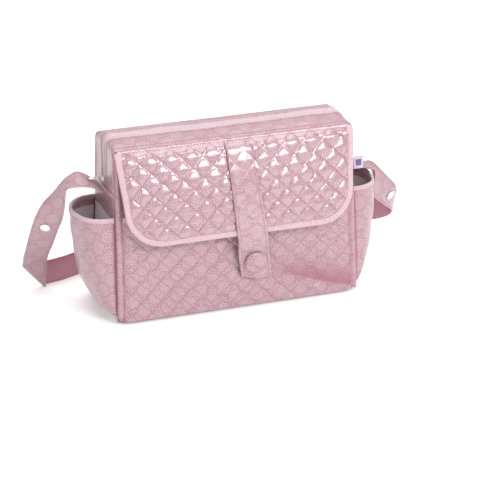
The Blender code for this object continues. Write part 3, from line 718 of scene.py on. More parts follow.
def laminate(name, gloss, coat, quilted=0.0, film=1.5, inks=None, print_share=0.68):
    """Printed cotton under a clear film: glossy, slightly uneven, darker in its sewn lines and in painted
    shade.

    quilted is how dark the diamond lines are, film the film's index of refraction and inks the
    cloth's own colour, the print's and that of its darker patches.
    """
    pink, pale, deep = inks or (PINK, PALE_PINK, DEEP_PINK)
    shader = Shader(name, coat_weight=coat, coat_roughness=gloss, sheen_weight=0.05)
    shader.surface.inputs["Coat IOR"].default_value = film
    fleck = shader.ramp(shader.noise(620.0, 1.0), 0.40, 0.62)
    cloud = shader.noise(30.0, 3.0)
    ground = shader.mix(shader.ramp(cloud, 0.35, 0.7, 0.0, 0.45), pink, deep)
    ground = shader.mix(shader.math("MULTIPLY", fleck, 0.66), ground, pale)
    disc = shader.ramp(shader.vector("LENGTH", lattice(shader, 0.0)), 0.0076, 0.0092, 0.16, 0.0)
    ground = shader.mix(disc, ground, deep)
    inked = shader.mix(shader.math("MULTIPLY", ring_print(shader), print_share), ground, pale)
    # The seam attribute mixes in the seam colour: on sewn lines, and as painted shade where a piece marks it.
    sewn = shader.math("MULTIPLY", shader.attribute("seam", "Fac"), 0.8)
    grain, swell = shader.noise(700.0, 3.0), shader.noise(160.0, 2.0)
    height = shader.math("ADD", grain, shader.math("MULTIPLY", swell, 1.6))
    if quilted:
        away = sewn_distance(shader)
        sewn = shader.math("MAXIMUM", sewn, shader.ramp(away, 0.0002, 0.0012, quilted, 0.0))
        height = shader.math("ADD", height, shader.math("MULTIPLY", shader.ramp(away, 0.0, 0.0024), 3.2))
    shaded = shader.mix(sewn, inked, SEAM_AND_SHADE_PINK)
    rough = shader.ramp(shader.noise(260.0, 2.0), 0.3, 0.7, 0.28, 0.46)
    return shader.finish(shaded, rough, height, 0.00035, 0.45)


def woven(name, light, dark, pitch=0.0007, rough=0.8, sheen=0.25):
    shader = Shader(name, sheen_weight=sheen, sheen_roughness=0.5)
    threads = weave(shader, pitch)
    mottle = shader.noise(300.0, 3.0)
    base = shader.mix(shader.ramp(mottle, 0.3, 0.7), light, dark)
    base = shader.mix(shader.ramp(threads, -1.0, 1.0, 0.0, 0.25), base, dark)
    return shader.finish(base, shader.ramp(mottle, 0.3, 0.7, rough - 0.08, rough + 0.08), threads, 0.00018, 0.6)


def plated(name, tint, rough):
    shader = Shader(name, base_color=tint, metallic=1.0)
    coords = shader.node("TexCoord").outputs["Object"]
    wear = shader.noise(1400.0, 3.0, coords)
    return shader.finish(None, shader.ramp(wear, 0.3, 0.75, rough, rough + 0.16), wear, 0.00004, 0.3)


def plastic(name, light, dark, rough, coat=0.3):
    shader = Shader(name, coat_weight=coat, coat_roughness=0.12)
    coords = shader.node("TexCoord").outputs["Object"]
    mottle = shader.noise(220.0, 3.0, coords)
    return shader.finish(shader.mix(mottle, light, dark), shader.ramp(mottle, 0.3, 0.7, rough, rough + 0.1),
                         shader.noise(1800.0, 2.0, coords), 0.00004, 0.25)


PINK = colour(151, 107, 118)
DEEP_PINK = colour(140, 82, 98)
PALE_PINK = colour(190, 168, 174)
# Colour of the sewn lines, and of the painted shade above the front pocket's crease.
SEAM_AND_SHADE_PINK = colour(142, 72, 93)
GLOSSY_FILM = 1.7
QUILTED = laminate("quilted_print", 0.13, 0.90, quilted=0.48, film=GLOSSY_FILM)
POCKET_FACE = laminate("quilted_pocket_print", 0.17, 0.50, quilted=0.36)
TAB_FACE = laminate("tab_print", 0.14, 0.80, film=GLOSSY_FILM)
PRINTED = laminate("plain_print", 0.22, 0.45)
STRAP_FACE = laminate("strap_band", 0.24, 0.40)
# The strap's inner face: the same print in deeper, redder inks, as painted shade with a painted pink glow of
# light through the strap.
STRAP_BACK_PAINTED_SHADE = laminate("strap_inner_face_painted_shade", 0.3, 0.3, print_share=0.35,
                      inks=(colour(168, 104, 122), colour(196, 140, 155), colour(146, 84, 104)))
BINDING = woven("bias_binding", colour(206, 180, 186), colour(194, 162, 170))
LINING = woven("lining_cloth", colour(228, 219, 222), colour(214, 203, 208), rough=0.85)
TAPE = woven("zip_tape", colour(198, 176, 182), colour(186, 162, 169), 0.0009)
COIL = plastic("zip_coil", colour(206, 184, 190), colour(194, 170, 177), 0.35)
THREAD = woven("thread", colour(190, 138, 150), colour(168, 112, 126), 0.0004, 0.6)
LABEL = woven("label_cloth", colour(206, 198, 212), colour(190, 180, 200), 0.0005)
LABEL_PATCH = woven("label_patch_cloth", colour(124, 98, 150), colour(104, 80, 130), 0.0005)
ZIP_METAL = plated("zip_metal", (0.80, 0.79, 0.78, 1.0), 0.18)
STEEL = plated("magnet_steel", (0.62, 0.61, 0.60, 1.0), 0.28)
SNAP = plastic("snap_plastic", colour(240, 240, 238), colour(228, 229, 228), 0.2, 0.6)
BOARD = plastic("stiffener", (0.35, 0.34, 0.33, 1.0), (0.28, 0.27, 0.26, 1.0), 0.7, 0.0)


# ---------------------------------------------------------------- quilting, by cloth simulation

SIM_SCALE = 40.0             # the cloth solver is steadier on a cloth a few metres wide
SIM_STEPS = 10               # grid steps along half a diamond
SIM_FRAMES = 14
CLOTH_SETTINGS = {"quality": 4, "mass": 0.2, "tension_stiffness": 10.0, "compression_stiffness": 10.0,
                  "shear_stiffness": 4.0, "bending_stiffness": 1.5, "air_damping": 2.0, "shrink_min": -0.04,
                  "vertex_group_mass": "held", "use_pressure": True}
BLOW_PRESSURE = 6.0


def quilted_relief(name, lie, half, low, high, height, pressure):
    """Height of the quilted cloth above its sewn lines, as a function of its place on the cloth.

    A flat cloth is held along the sewn diamond lines and blown up.
    """
    du, dv = 0.5 * DIAMOND_WIDTH / SIM_STEPS, 0.5 * DIAMOND_HEIGHT / SIM_STEPS
    us = du * np.arange(math.floor(-half / du), math.ceil(half / du) + 1)
    vs = dv * np.arange(math.floor(low / dv), math.ceil(high / dv) + 1)
    v, u = np.meshgrid(vs, us, indexing="ij")
    slack = 0.10 * np.abs(ripple(u, v, 0.030, 120)) * quilt(u, v)
    start = join(u, v, 0.0006 * quilt(u, v) * (1.0 + slack)) * SIM_SCALE
    cloth = new_piece(name, start, quads(len(vs), len(us)), [])
    held = quilt(u, v).ravel() < 0.05
    border = np.zeros(u.shape, bool)
    border[[0, -1]] = True
    border[:, [0, -1]] = True
    group = cloth.vertex_groups.new(name="held")
    group.add(np.flatnonzero(held | border.ravel()).tolist(), 1.0, "REPLACE")
    modifier = cloth.modifiers.new("Cloth", "CLOTH")
    settings = modifier.settings
    for key, value in CLOTH_SETTINGS.items():
        setattr(settings, key, value)
    settings.uniform_pressure_force = BLOW_PRESSURE * pressure
    settings.effector_weights.gravity = 0.0
    modifier.collision_settings.use_collision = False
    modifier.point_cache.frame_start, modifier.point_cache.frame_end = 1, SIM_FRAMES
    scene = bpy.context.scene
    for frame_number in range(1, SIM_FRAMES + 1):
        scene.frame_set(frame_number)
    shaped = cloth.evaluated_get(bpy.context.evaluated_depsgraph_get()).data
    places = np.zeros(3 * len(shaped.vertices))
    shaped.vertices.foreach_get("co", places)
    rise = places.reshape(len(vs), len(us), 3)[..., 2] / SIM_SCALE
    scene.frame_set(1)
    bpy.data.objects.remove(cloth, do_unlink=True)
    rise = np.clip(rise, 0.0, None)
    rise = height * np.clip(rise / np.percentile(rise, 97.0), 0.0, 1.25) ** 0.8

    def relief(a, b):
        a, b = on_print(lie, a, b)
        i = np.clip((b - vs[0]) / dv, 0.0, len(vs) - 1.001)
        j = np.clip((a - us[0]) / du, 0.0, len(us) - 1.001)
        i0, j0 = i.astype(int), j.astype(int)
        fi, fj = i - i0, j - j0
        upper = rise[i0, j0] * (1.0 - fj) + rise[i0, j0 + 1] * fj
        lower = rise[i0 + 1, j0] * (1.0 - fj) + rise[i0 + 1, j0 + 1] * fj
        return upper * (1.0 - fi) + lower * fi

    return relief


# ---------------------------------------------------------------- front, back, sides and base

def plate_width(z):
    """Half width of the front and back panels' outline, with their rounded corners."""
    rise = np.clip(z - (SEAM_HEIGHT - SEAM_CORNER), 0.0, SEAM_CORNER)
    fall = np.clip(PANEL_FOOT + FOOT_CORNER - z, 0.0, FOOT_CORNER)
    top = SEAM_CORNER - np.sqrt(np.maximum(SEAM_CORNER ** 2 - rise ** 2, 0.0))
    foot = FOOT_CORNER - np.sqrt(np.maximum(FOOT_CORNER ** 2 - fall ** 2, 0.0))
    return half_width(z) - top - foot


def plate_distance(x, z):
    """Distance inwards from the panels' outline."""
    across = half_width(z) - np.abs(x)
    above, below = SEAM_HEIGHT - z, z - PANEL_FOOT
    edge = np.minimum(across, np.minimum(above, below))
    for radius, other in ((SEAM_CORNER, above), (FOOT_CORNER, below)):
        inside = radius - np.hypot(radius - across, radius - other)
        edge = np.where((across < radius) & (other < radius), inside, edge)
    return edge


def front_form(x, z):
    edge = plate_distance(x, z)
    side = half_width(z) - np.abs(x)
    ridge = 0.0026 * np.sqrt(bump(side, -0.0012, POCKET_INSET + 0.0022)) * smoothstep(0.0, 0.012, z)
    crease = 0.0006 * ripple(x * 0.5, z, 0.016, 4) * bump(side, -0.004, 0.016)
    behind = 0.0030 * smoothstep(0.012, 0.035, edge) * smoothstep(0.160, 0.145, z)
    return join(x, -half_depth(z) - ridge - crease + roll(edge, 0.0045) + behind, z)


def back_form(x, z):
    edge = plate_distance(x, z)
    full = 0.0045 * smoothstep(0.0, 0.07, edge) + 0.0014 * bump(edge, 0.0005, 0.0135)
    dent = 0.0011 * ripple(x, z, 0.11, 11) * smoothstep(0.0, 0.05, edge)
    return join(x, half_depth(z) + full + dent - roll(edge), z)


def plate_grid(form_step):
    heights = graded(PANEL_FOOT, SEAM_HEIGHT, form_step, ROLL)
    share = graded(-TOP_HALF_WIDTH, TOP_HALF_WIDTH, form_step, ROLL) / TOP_HALF_WIDTH
    angle = np.linspace(0.0, 0.5 * np.pi, 9)
    inside = (heights > PANEL_FOOT + FOOT_CORNER + 0.001) & (heights < SEAM_HEIGHT - SEAM_CORNER - 0.001)
    heights = np.concatenate([PANEL_FOOT + FOOT_CORNER * (1.0 - np.cos(angle)), heights[inside],
                              SEAM_HEIGHT - SEAM_CORNER * (1.0 - np.sin(angle))])
    z, s = np.meshgrid(heights, share, indexing="ij")
    return plate_width(z) * s, z


def sewn(distance, width=0.0016):
    """1 on a sewn line and 0 a little way off it."""
    return 1.0 - smoothstep(0.0, width, np.abs(distance))


def make_main_panels():
    x, z = plate_grid(0.003)
    edge = plate_distance(x, z)
    mark = np.maximum(sewn(edge, 0.003), sewn(half_width(z) - np.abs(x) - POCKET_INSET, 0.002))
    front = sheet("front_body_panel", front_form, x, z, 0.0030, PRINTED, LINING, mark, (0, -1, 0))
    ride(front, "root", "quilted_print", "front_panel")
    mark = np.maximum(sewn(edge, 0.003), sewn(edge - BACK_SEAM))
    back = sheet("back_body_panel", back_form, x, z, 0.0035, PRINTED, LINING, mark, (0, 1, 0))
    ride(back, "root", "plain_print", "back_panel")
    ends = (PANEL_FOOT + BACK_SEAM, SEAM_HEIGHT - BACK_SEAM)
    heights = np.linspace(*ends, 120)
    widths = np.linspace(-TOP_HALF_WIDTH + BACK_SEAM, TOP_HALF_WIDTH - BACK_SEAM, PATH_STITCHES)
    paths = [on_surface(back_form, s * (half_width(heights) - BACK_SEAM), heights, outward=(0, 1, 0))
             for s in (-1, 1)]
    paths += [on_surface(back_form, widths, height + 0.0 * widths, outward=(0, 1, 0)) for height in ends]
    sew("back_panel_stitching", paths)


def side_edge(y, z):
    """Distance inwards from a side panel's seams and its upper end."""
    return np.minimum(half_depth(z) - SIDE_INSET - np.abs(y), ZIP_END_HEIGHT - z)


def foot_tuck(z):
    """1 at the foot of the panels and 0 above the height where they turn in."""
    return roll(z - PANEL_FOOT, TUCK_HEIGHT) / TUCK_HEIGHT


def side_form(side):
    def form(y, z):
        edge = side_edge(y, z)
        hollow = 0.0016 * smoothstep(0.0, 0.03, edge) + 0.0008 * ripple(y, z, 0.06, 20 + side)
        hollow = hollow * smoothstep(0.0, 0.02, edge)
        tucked = SIDE_TUCK * foot_tuck(z) * smoothstep(0.0, TUCK_HEIGHT, half_depth(z) - np.abs(y))
        return join(side * (half_width(z) - roll(edge, SIDE_EDGE) - hollow - tucked), y, z)
    return form


def make_sides():
    heights = graded(PANEL_FOOT, ZIP_END_HEIGHT, 0.004, SIDE_EDGE)
    share = graded(-1.0, 1.0, 0.06, 0.05)
    z, s = np.meshgrid(heights, share, indexing="ij")
    y = s * (half_depth(z) - SIDE_INSET)
    for side, word in ((-1, "left"), (1, "right")):
        form = side_form(side)
        mark = sewn(side_edge(y, z), SIDE_EDGE)
        item = sheet("side_body_panel_" + word, form, y, z, 0.0028, PRINTED, LINING, mark, (side, 0, 0))
        middles = np.zeros(3 * len(item.data.polygons))
        item.data.polygons.foreach_get("center", middles)
        materials = np.zeros(len(item.data.polygons), np.int32)
        item.data.polygons.foreach_get("material_index", materials)
        _, across, up = middles.reshape(-1, 3).T
        lined = (up < BOTTLE_MOUTH_HEIGHT - 0.003) & (up > 0.03) & (np.abs(across) < 0.052)
        item.data.polygons.foreach_set("material_index", np.where(lined, 1, materials))
        ride(item, "root", "plain_print", "side_panel_" + word)
        run = np.linspace(-0.045, 0.045, 60)
        path = on_surface(form, run, ZIP_END_HEIGHT - 0.005 + 0.0 * run, outward=(side, 0, 0))
        sew("side_seam_stitching_" + word, [path])


def make_base():
    build = bmesh.new()
    bmesh.ops.create_cube(build, size=1.0)
    size = (2.0 * BASE_HALF_WIDTH - 0.012, 2.0 * BASE_HALF_DEPTH - 0.006, BASE_THICKNESS + 0.0012)
    bmesh.ops.scale(build, vec=size, verts=build.verts)
    bmesh.ops.translate(build, vec=(0.0, 0.0, 0.5 * size[2]), verts=build.verts)
    upright = [e for e in build.edges if abs(e.verts[0].co.z - e.verts[1].co.z) > 0.001]
    bmesh.ops.bevel(build, geom=upright, offset=0.012, segments=8, affect="EDGES", profile=0.5)
    rims = [e for e in build.edges if len(e.link_faces) == 2
            and abs(e.link_faces[0].normal.z - e.link_faces[1].normal.z) > 0.5]
    bmesh.ops.bevel(build, geom=rims, offset=0.0018, segments=4, affect="EDGES", profile=0.5)
    item = finish_build("base_welt", build, PRINTED, 50.0)
    set_cloth(item.data, [(v.co.x, v.co.y, 0.0) for v in item.data.vertices])
    ride(item, "root", "plain_print", "base_panel")


# ---------------------------------------------------------------- zipped top, over both corners

TOP_FLAT = TOP_HALF_WIDTH - CORNER_RADIUS
TOP_ARC = CORNER_RADIUS * 0.5 * math.pi
TOP_SIDE = SEAM_HEIGHT - CORNER_RADIUS - ZIP_END_HEIGHT - 0.0005
TOP_RUN = TOP_FLAT + TOP_ARC + TOP_SIDE
LID_END = 0.090              # the middle of the top moves with the lids from here
TOP_SECTIONS = (("left_side", -TOP_RUN, -TOP_FLAT - TOP_ARC), ("left", -TOP_FLAT - TOP_ARC, -LID_END),
                ("middle", -LID_END, LID_END), ("right", LID_END, TOP_FLAT + TOP_ARC),
                ("right_side", TOP_FLAT + TOP_ARC, TOP_RUN))


def top_form(sign, lift=0.0, relief=None):
    """The zipped top, by the distance along it from the middle and the distance from the zip."""
    def form(s, y):
        run = np.abs(s)
        radius = CORNER_RADIUS + (SEAM_CORNER - CORNER_RADIUS) * smoothstep(0.017, LID_SEAM, np.abs(y))
        turn = np.clip((run - TOP_FLAT) / CORNER_RADIUS, 0.0, 0.5 * np.pi)
        fall = np.maximum(run - TOP_FLAT - TOP_ARC, 0.0)
        side_share = fall / TOP_SIDE
        flat = np.clip((run - LID_END) / (TOP_FLAT - LID_END), 0.0, 1.0)
        x = np.minimum(run, LID_END) + (TOP_HALF_WIDTH - radius - LID_END) * flat + radius * np.sin(turn)
        z = SEAM_HEIGHT - radius * (1.0 - np.cos(turn))
        z = z + (SEAM_HEIGHT - CORNER_RADIUS - TOP_SIDE - z) * side_share
        x = x + (BASE_HALF_WIDTH - TOP_HALF_WIDTH) * (SEAM_HEIGHT - radius - z) / SEAM_HEIGHT * (fall > 0.0)
        soft = smoothstep(0.0, 0.012, LID_SEAM - np.abs(y)) * smoothstep(0.0, 0.02, TOP_RUN - run)
        height = lift + soft * (0.0007 * ripple(s, sign * y, 0.075, 31) - 0.0012 * bump(run, -0.12, 0.12))
        if relief is not None:
            height = height + relief(s, y)
        arched = crown(y) * (1.0 - smoothstep(0.0, 0.05, fall))
        return join(np.sign(s) * (x + height * np.sin(turn)), sign * y, z + arched + height * np.cos(turn))
    return form


def seam_place(s):
    """How far from the zip the top is sewn to the front or back panel."""
    fall = np.maximum(np.abs(s) - TOP_FLAT - TOP_ARC, 0.0)
    low = SEAM_HEIGHT - CORNER_RADIUS - fall
    return np.where(fall > 0.0, np.maximum(LID_SEAM, inner_depth(low)), LID_SEAM)


def ridge_relief(s, y):
    """Ridges between each seam of the top cloth and its stitching."""
    at_seam = 0.0013 * bump(seam_place(s) - y, 0.0003, 0.0064)
    return at_seam + 0.0007 * bump(y, TAPE_HALF_WIDTH + TAPE_GAP, ZIP_STITCH)


def coil_relief(s, y):
    """Rounded teeth of the zip's coil."""
    teeth = np.abs(np.sin(np.pi * s / 0.0016))
    return 0.0010 * teeth * np.sqrt(np.clip(1.0 - ((y - 0.0013) / 0.0014) ** 2, 0.0, 1.0))


def on_lid(item, word, side, slot_name, *nodes):
    """The middle section turns with its lid; those beside it are baked in place."""
    if side == 0.0:
        ride(item, "lid_" + word, slot_name, *nodes)
    else:
        start, end = [(math.copysign(x, side), 0.0, SEAM_HEIGHT) for x in (TOP_HALF_WIDTH, LID_END)]
        blend(item, "lid_" + word, start, end, slot_name, *nodes)


def top_pieces(word, sign):
    kinds = [("top_cloth_", "top_panel_", "plain_print", 0.0026, PRINTED, LINING, ridge_relief, 0.0, 0.0030),
             ("zip_tape_cloth_", "zip_tape_", "zip_tape", 0.0009, TAPE, TAPE, None, -0.0006, 0.0040),
             ("zip_teeth_", "zip_coil_", "zip_coil", 0.0012, COIL, None, coil_relief, -0.0002, 0.0004)]
    for label, node, slot_name, thickness, outer, inner, relief, lift, step in kinds:
        form = top_form(sign, lift, relief)
        for part, low, high in TOP_SECTIONS:
            along = np.linspace(low, high, max(6, int(round((high - low) / step)) + 1))
            if label == "top_cloth_":
                share = np.concatenate([np.linspace(0.0, 0.14, 5)[:-1], np.linspace(0.14, 0.78, 7)[:-1],
                                        np.linspace(0.78, 1.0, 10)])
                s, t = np.meshgrid(along, share, indexing="ij")
                y = TAPE_HALF_WIDTH + TAPE_GAP + (seam_place(s) - TAPE_HALF_WIDTH - TAPE_GAP) * t
                seam = np.maximum(sewn(seam_place(s) - y - LID_STITCH), sewn(y - ZIP_STITCH))
                seam = 0.45 * np.maximum(seam, sewn(seam_place(s) - y, 0.001))
            elif label == "zip_tape_cloth_":
                s, y = np.meshgrid(along, np.linspace(0.0022, TAPE_HALF_WIDTH + 0.0010, 6), indexing="ij")
                seam = None
            else:
                s, y = np.meshgrid(along, np.linspace(0.00012, COIL_HALF_WIDTH, 7), indexing="ij")
                seam = None
            joins = {"left_side": ("end",), "right_side": ("start",)}.get(part, ("start", "end"))
            item = sheet(label + word + "_" + part, form, s, y, thickness, outer, inner, seam,
                         (0, 0, 1) if "side" not in part else (np.sign(low + high), 0, 0), joins)
            side = "left" if low < 0.0 else "right"
            if "side" in part:
                side_node = "side_gusset_" + word + "_" if label == "top_cloth_" else "side_zip_"
                ride(item, "root", slot_name, side_node + side)
                continue
            on_lid(item, word, low + high, slot_name, node + word)


def top_stitching(word, sign):
    form = top_form(sign, 0.0, ridge_relief)
    for part, low, high in TOP_SECTIONS[1:-1]:
        s = np.linspace(low, high, PATH_STITCHES)
        paths = [on_surface(form, s, seam_place(s) - LID_STITCH, outward=(0, 0, 1)),
                 on_surface(form, s, ZIP_STITCH + 0.0 * s, outward=(0, 0, 1))]
        on_lid(stitches("top_stitching_" + word + "_" + part, paths), word, low + high, "bias_binding")
    paths = []
    for side in (-1, 1):
        s = side * np.linspace(TOP_FLAT + TOP_ARC, TOP_RUN - 0.002, 60)
        paths.append(on_surface(form, s, ZIP_STITCH + 0.0 * s, outward=(side, 0, 0)))
    sew("gusset_stitching_" + word, paths)


def make_top():
    for word, sign in (("front", -1), ("back", 1)):
        top_pieces(word, sign)
        top_stitching(word, sign)


# ---------------------------------------------------------------- front pocket

def pocket_half(z):
    return half_width(z) - POCKET_INSET


def crease_line(x):
    return 0.047 - 0.033 * smoothstep(0.05, 0.190, x)


def pocket_dents(x, z):
    """How far the front pocket sinks in: a crease down to its lower right corner, and soft hollows."""
    line = crease_line(x)
    reach = smoothstep(0.0, 0.09, x) * (1.0 - 0.5 * smoothstep(0.15, 0.18, x))
    above = np.exp(-(np.maximum(z - line, 0.0) / 0.030) ** 2)
    below = np.exp(-(np.maximum(line - z, 0.0) / 0.022) ** 2)
    crease = reach * (0.0040 * np.where(z > line, above, below) - 0.0008 * bump(line - z, 0.002, 0.036))
    left = 0.0030 * bump(x, -0.17, -0.03) * bump(z, 0.005, 0.085)
    return crease + left


def pocket_form(x, z, relief=None):
    half = pocket_half(z)
    bulge = POCKET_BULGE * (1.0 - (x / half) ** 2) * np.minimum(z / POCKET_MOUTH_HEIGHT, 1.0) ** 2
    edge = half - np.abs(x)
    soft = smoothstep(0.0, 0.012, edge) * smoothstep(0.004, 0.016, z) * smoothstep(0.0, 0.006, 0.1605 - z)
    pillow = POCKET_PUFF * quilt(*on_print(POCKET_PRINT, x, z)) if relief is None else relief(x, z)
    puff = pillow * soft
    uneven = (0.0012 * ripple(x, z, 0.085, 47) + 0.0007 * ripple(x, z * 1.6, 0.035, 48)) * soft
    pucker = 0.0005 * ripple(x * 0.3, z, 0.013, 49) * bump(edge, -0.006, 0.018)
    inward = pocket_dents(x, z) * smoothstep(0.0, 0.030, edge) * smoothstep(0.002, 0.014, z)
    stand = POCKET_STAND_OFF * (0.45 + 0.55 * smoothstep(0.0, 0.014, edge))
    return join(x, -half_depth(z) - stand - bulge - puff - uneven - pucker + inward + roll(edge, 0.0026), z)


def binding_rim(name, form, u, v, width, node, thickness=0.0034, outward=None):
    """Bias binding folded over the rim of a pocket: a band over the line u, v of its form."""
    points, out = on_surface(form, u, v, outward=outward)
    centre = points - out * 0.5 * thickness
    across = np.cross(out, np.gradient(centre, axis=0))
    item = band(name, centre, across, 0.5 * width, 0.5 * thickness + 0.0009, BINDING, columns=24,
                relief=lambda s, t: 0.00022 * ripple(s, t * 0.002, 0.009, 60) * (1.0 - t ** 2))
    return ride(item, "root", "bias_binding", node)


def make_front_pocket():
    heights = graded(BASE_THICKNESS + 0.0012, POCKET_MOUTH_HEIGHT + 0.004, 0.0016, 0.004)
    share = graded(-1.0, 1.0, 0.0088, 0.02)
    z, share = np.meshgrid(heights, share, indexing="ij")
    x = share * pocket_half(z)
    relief = quilted_relief("front_pocket_pad", POCKET_PRINT, 0.190, 0.000, 0.170, POCKET_PUFF, 0.6)
    edge = pocket_half(z) - np.abs(x)
    # Painted shade: a darker, redder band just above the crease, added to the seam marks so it takes the seam
    # colour.
    above = z - crease_line(x)
    shade = np.exp(-(np.maximum(above, 0.0) / 0.026) ** 2) * smoothstep(-0.004, 0.001, above)
    mark = np.maximum(sewn(edge, 0.003), 0.85 * (shade * smoothstep(0.01, 0.12, x)))
    item = sheet("quilted_front_pocket", lambda a, b: pocket_form(a, b, relief), x, z, 0.0030, POCKET_FACE,
                 LINING, mark, (0, -1, 0), lie=POCKET_PRINT)
    ride(item, "root", "quilted_print", "front_pocket")
    run = np.linspace(-1.0, 1.0, 170) * (pocket_half(POCKET_MOUTH_HEIGHT) - 0.001)
    middle = POCKET_MOUTH_HEIGHT + 0.5 * POCKET_BINDING_HEIGHT + 0.0005
    binding_rim("front_pocket_hem", pocket_form, run, middle + 0.0 * run, POCKET_BINDING_HEIGHT,
                "front_pocket_binding", outward=(0, -1, 0))
    tall = np.linspace(0.010, POCKET_MOUTH_HEIGHT, 120)
    paths = [on_surface(pocket_form, s * (pocket_half(tall) - 0.0035), tall, outward=(0, -1, 0))
             for s in (-1, 1)]
    sew("front_pocket_stitching", paths)


# ---------------------------------------------------------------- bottle pockets

def bottle_form(side):
    """A bottle pocket by the angle round it and its height, both as lengths in metres."""
    def form(u, z):
        around = np.clip(u / BOTTLE_HALF_LENGTH, 0.0, np.pi)
        level = np.clip((BOTTLE_MOUTH_HEIGHT - z) / BOTTLE_DEPTH, 0.0, 1.0)
        swell = BOTTLE_BULGE * np.sqrt(1.0 - level ** 2)
        end = BOTTLE_HALF_LENGTH * half_depth(z) / half_depth(BOTTLE_MOUTH_HEIGHT)
        y = -np.cos(around) * (end - BOTTLE_END_INSET)
        soft = np.sin(around) ** 0.8
        from_end = np.minimum(u, np.pi * BOTTLE_HALF_LENGTH - u)
        stand = BOTTLE_END_GAP + (BOTTLE_STAND_OFF - BOTTLE_END_GAP) * smoothstep(0.0, 0.02, from_end)
        foot = BOTTLE_TUCK * foot_tuck(z)
        fold = (0.0013 * ripple(u, z, 0.055, 70 + side) + 0.0006 * ripple(u, 0.5 * z, 0.022, 72 + side)) * soft
        pleat = 0.0012 * np.sin(u / 0.0042) * soft * smoothstep(0.055, 0.015, z)
        return join(side * (half_width(z) + stand - foot + swell * soft + fold + pleat), y, z)
    return form


def make_bottle_pockets():
    rise = np.linspace(0.05, 1.0, 48) * 0.5 * np.pi
    heights = np.concatenate([BOTTLE_MOUTH_HEIGHT - BOTTLE_DEPTH * np.cos(rise), [BOTTLE_MOUTH_HEIGHT + 0.003]])
    around = BOTTLE_HALF_LENGTH * 0.5 * np.pi * (1.0 - np.cos(np.linspace(0.0, np.pi, 70)))
    z, u = np.meshgrid(heights, around, indexing="ij")
    for side, word in ((-1, "left"), (1, "right")):
        form = bottle_form(side)
        edge = np.minimum(u, np.pi * BOTTLE_HALF_LENGTH - u)
        mark = np.maximum(sewn(edge, 0.004), sewn(z - heights[0], 0.003))
        item = sheet("bottle_pocket_cloth_" + word, form, u, z, 0.0022, PRINTED, LINING, mark, (side, 0, 0))
        ride(item, "root", "plain_print", "bottle_pocket_" + word)
        middle = BOTTLE_MOUTH_HEIGHT + 0.5 * BOTTLE_BINDING_HEIGHT + 0.0005
        run = around[1:-1]
        hem = binding_rim("bottle_pocket_hem_" + word, form, run, middle + 0.0 * run, BOTTLE_BINDING_HEIGHT,
                          "bottle_pocket_binding_" + word, thickness=0.0026, outward=(side, 0, 0))
        path = on_surface(form, run, BOTTLE_MOUTH_HEIGHT + 0.0015 + 0.0 * run, 0.0009, (side, 0, 0))
        sew("bottle_hem_stitching_" + word, [path])


# ---------------------------------------------------------------- flap, tab and button

DOWN = np.array([0.0, -math.sin(FLAP_TILT), -math.cos(FLAP_TILT)])
OUT = np.array([0.0, -math.cos(FLAP_TILT), math.sin(FLAP_TILT)])
SIDEWAYS = np.array([1.0, 0.0, 0.0])
FLAP_ROOT = tuple(FLAP_HINGE)
FLAP_FREE = tuple(FLAP_HINGE + 0.012 * DOWN)


def flap_place(x, drop, lift):
    x, drop, lift = np.broadcast_arrays(x, drop, lift)
    offset = join(x, 0.0, 0.0)
    return FLAP_HINGE + offset + drop[..., None] * DOWN + lift[..., None] * OUT


def tab_value(values, drop):
    return catmull(TAB_DROPS, values, np.clip(drop, TAB_DROPS[0], TAB_DROPS[-1]))


def flap_belly(x, drop):
    """The flap swells out between its seam and its hem."""
    t = np.clip(drop / FLAP_LENGTH, 0.0, 1.0)
    return FLAP_BELLY * np.sin(np.pi * t ** 0.8) * (1.0 - np.clip(np.abs(x) / FLAP_HALF_WIDTH, 0.0, 1.0) ** 4)


def flap_half(drop):
    """Half width of the flap's outline, with its rounded lower corners."""
    corner = FLAP_LENGTH - FLAP_CORNER
    low = np.clip(drop - corner, 0.0, FLAP_CORNER)
    straight = FLAP_TOP_HALF_WIDTH + (FLAP_HALF_WIDTH - FLAP_TOP_HALF_WIDTH) * np.clip(drop, 0, corner) / corner
    return straight - FLAP_CORNER + np.sqrt(np.maximum(FLAP_CORNER ** 2 - low ** 2, 0.0))


def flap_distance(x, drop):
    """Distance inwards from the flap's free edge."""
    corner_x, corner_drop = FLAP_HALF_WIDTH - FLAP_CORNER, FLAP_LENGTH - FLAP_CORNER
    inside = FLAP_CORNER - np.hypot(np.abs(x) - corner_x, drop - corner_drop)
    straight = np.minimum(flap_half(np.minimum(drop, corner_drop)) - np.abs(x), FLAP_LENGTH - drop)
    return np.where((np.abs(x) > corner_x) & (drop > corner_drop), inside, straight)


def flap_form(x, drop, relief=None):
    edge = flap_distance(x, drop) - 0.5 * BINDING_WIDTH
    free = smoothstep(0.0, 0.012, edge) * smoothstep(0.0, 0.012, drop)
    under_tab = 1.0 - 0.55 * (1.0 - smoothstep(0.018, 0.026, np.abs(x - tab_value(TAB_SHIFTS, drop))))
    size = 1.0 + 0.22 * ripple(x, drop, 0.09, 80)
    pillow = quilt(*on_print(FLAP_PRINT, x, drop))
    puff = (PUFF * size * pillow if relief is None else relief(x, drop) * size) * free * under_tab
    pucker = 0.00030 * ripple(x, drop, 0.011, 81) * (1.0 - pillow) * free
    tuck = 0.0040 * (1.0 - smoothstep(-0.004, 0.009, drop))
    return flap_place(x, drop, 0.0012 + flap_belly(x, drop) + puff + pucker - tuck)


def flap_outline(inset, first, straight_rows, corner_rows):
    """Half widths and drops down the flap's side and round its corner, at the inset from its edge."""
    corner = FLAP_LENGTH - FLAP_CORNER
    upper = np.linspace(first, corner, straight_rows)
    angle = np.linspace(0.0, 0.5 * np.pi, corner_rows)[1:]
    turned_in = FLAP_HALF_WIDTH - FLAP_CORNER + (FLAP_CORNER - inset) * np.cos(angle)
    halves = np.concatenate([flap_half(upper) - inset, turned_in])
    return halves, np.concatenate([upper, corner + (FLAP_CORNER - inset) * np.sin(angle)])


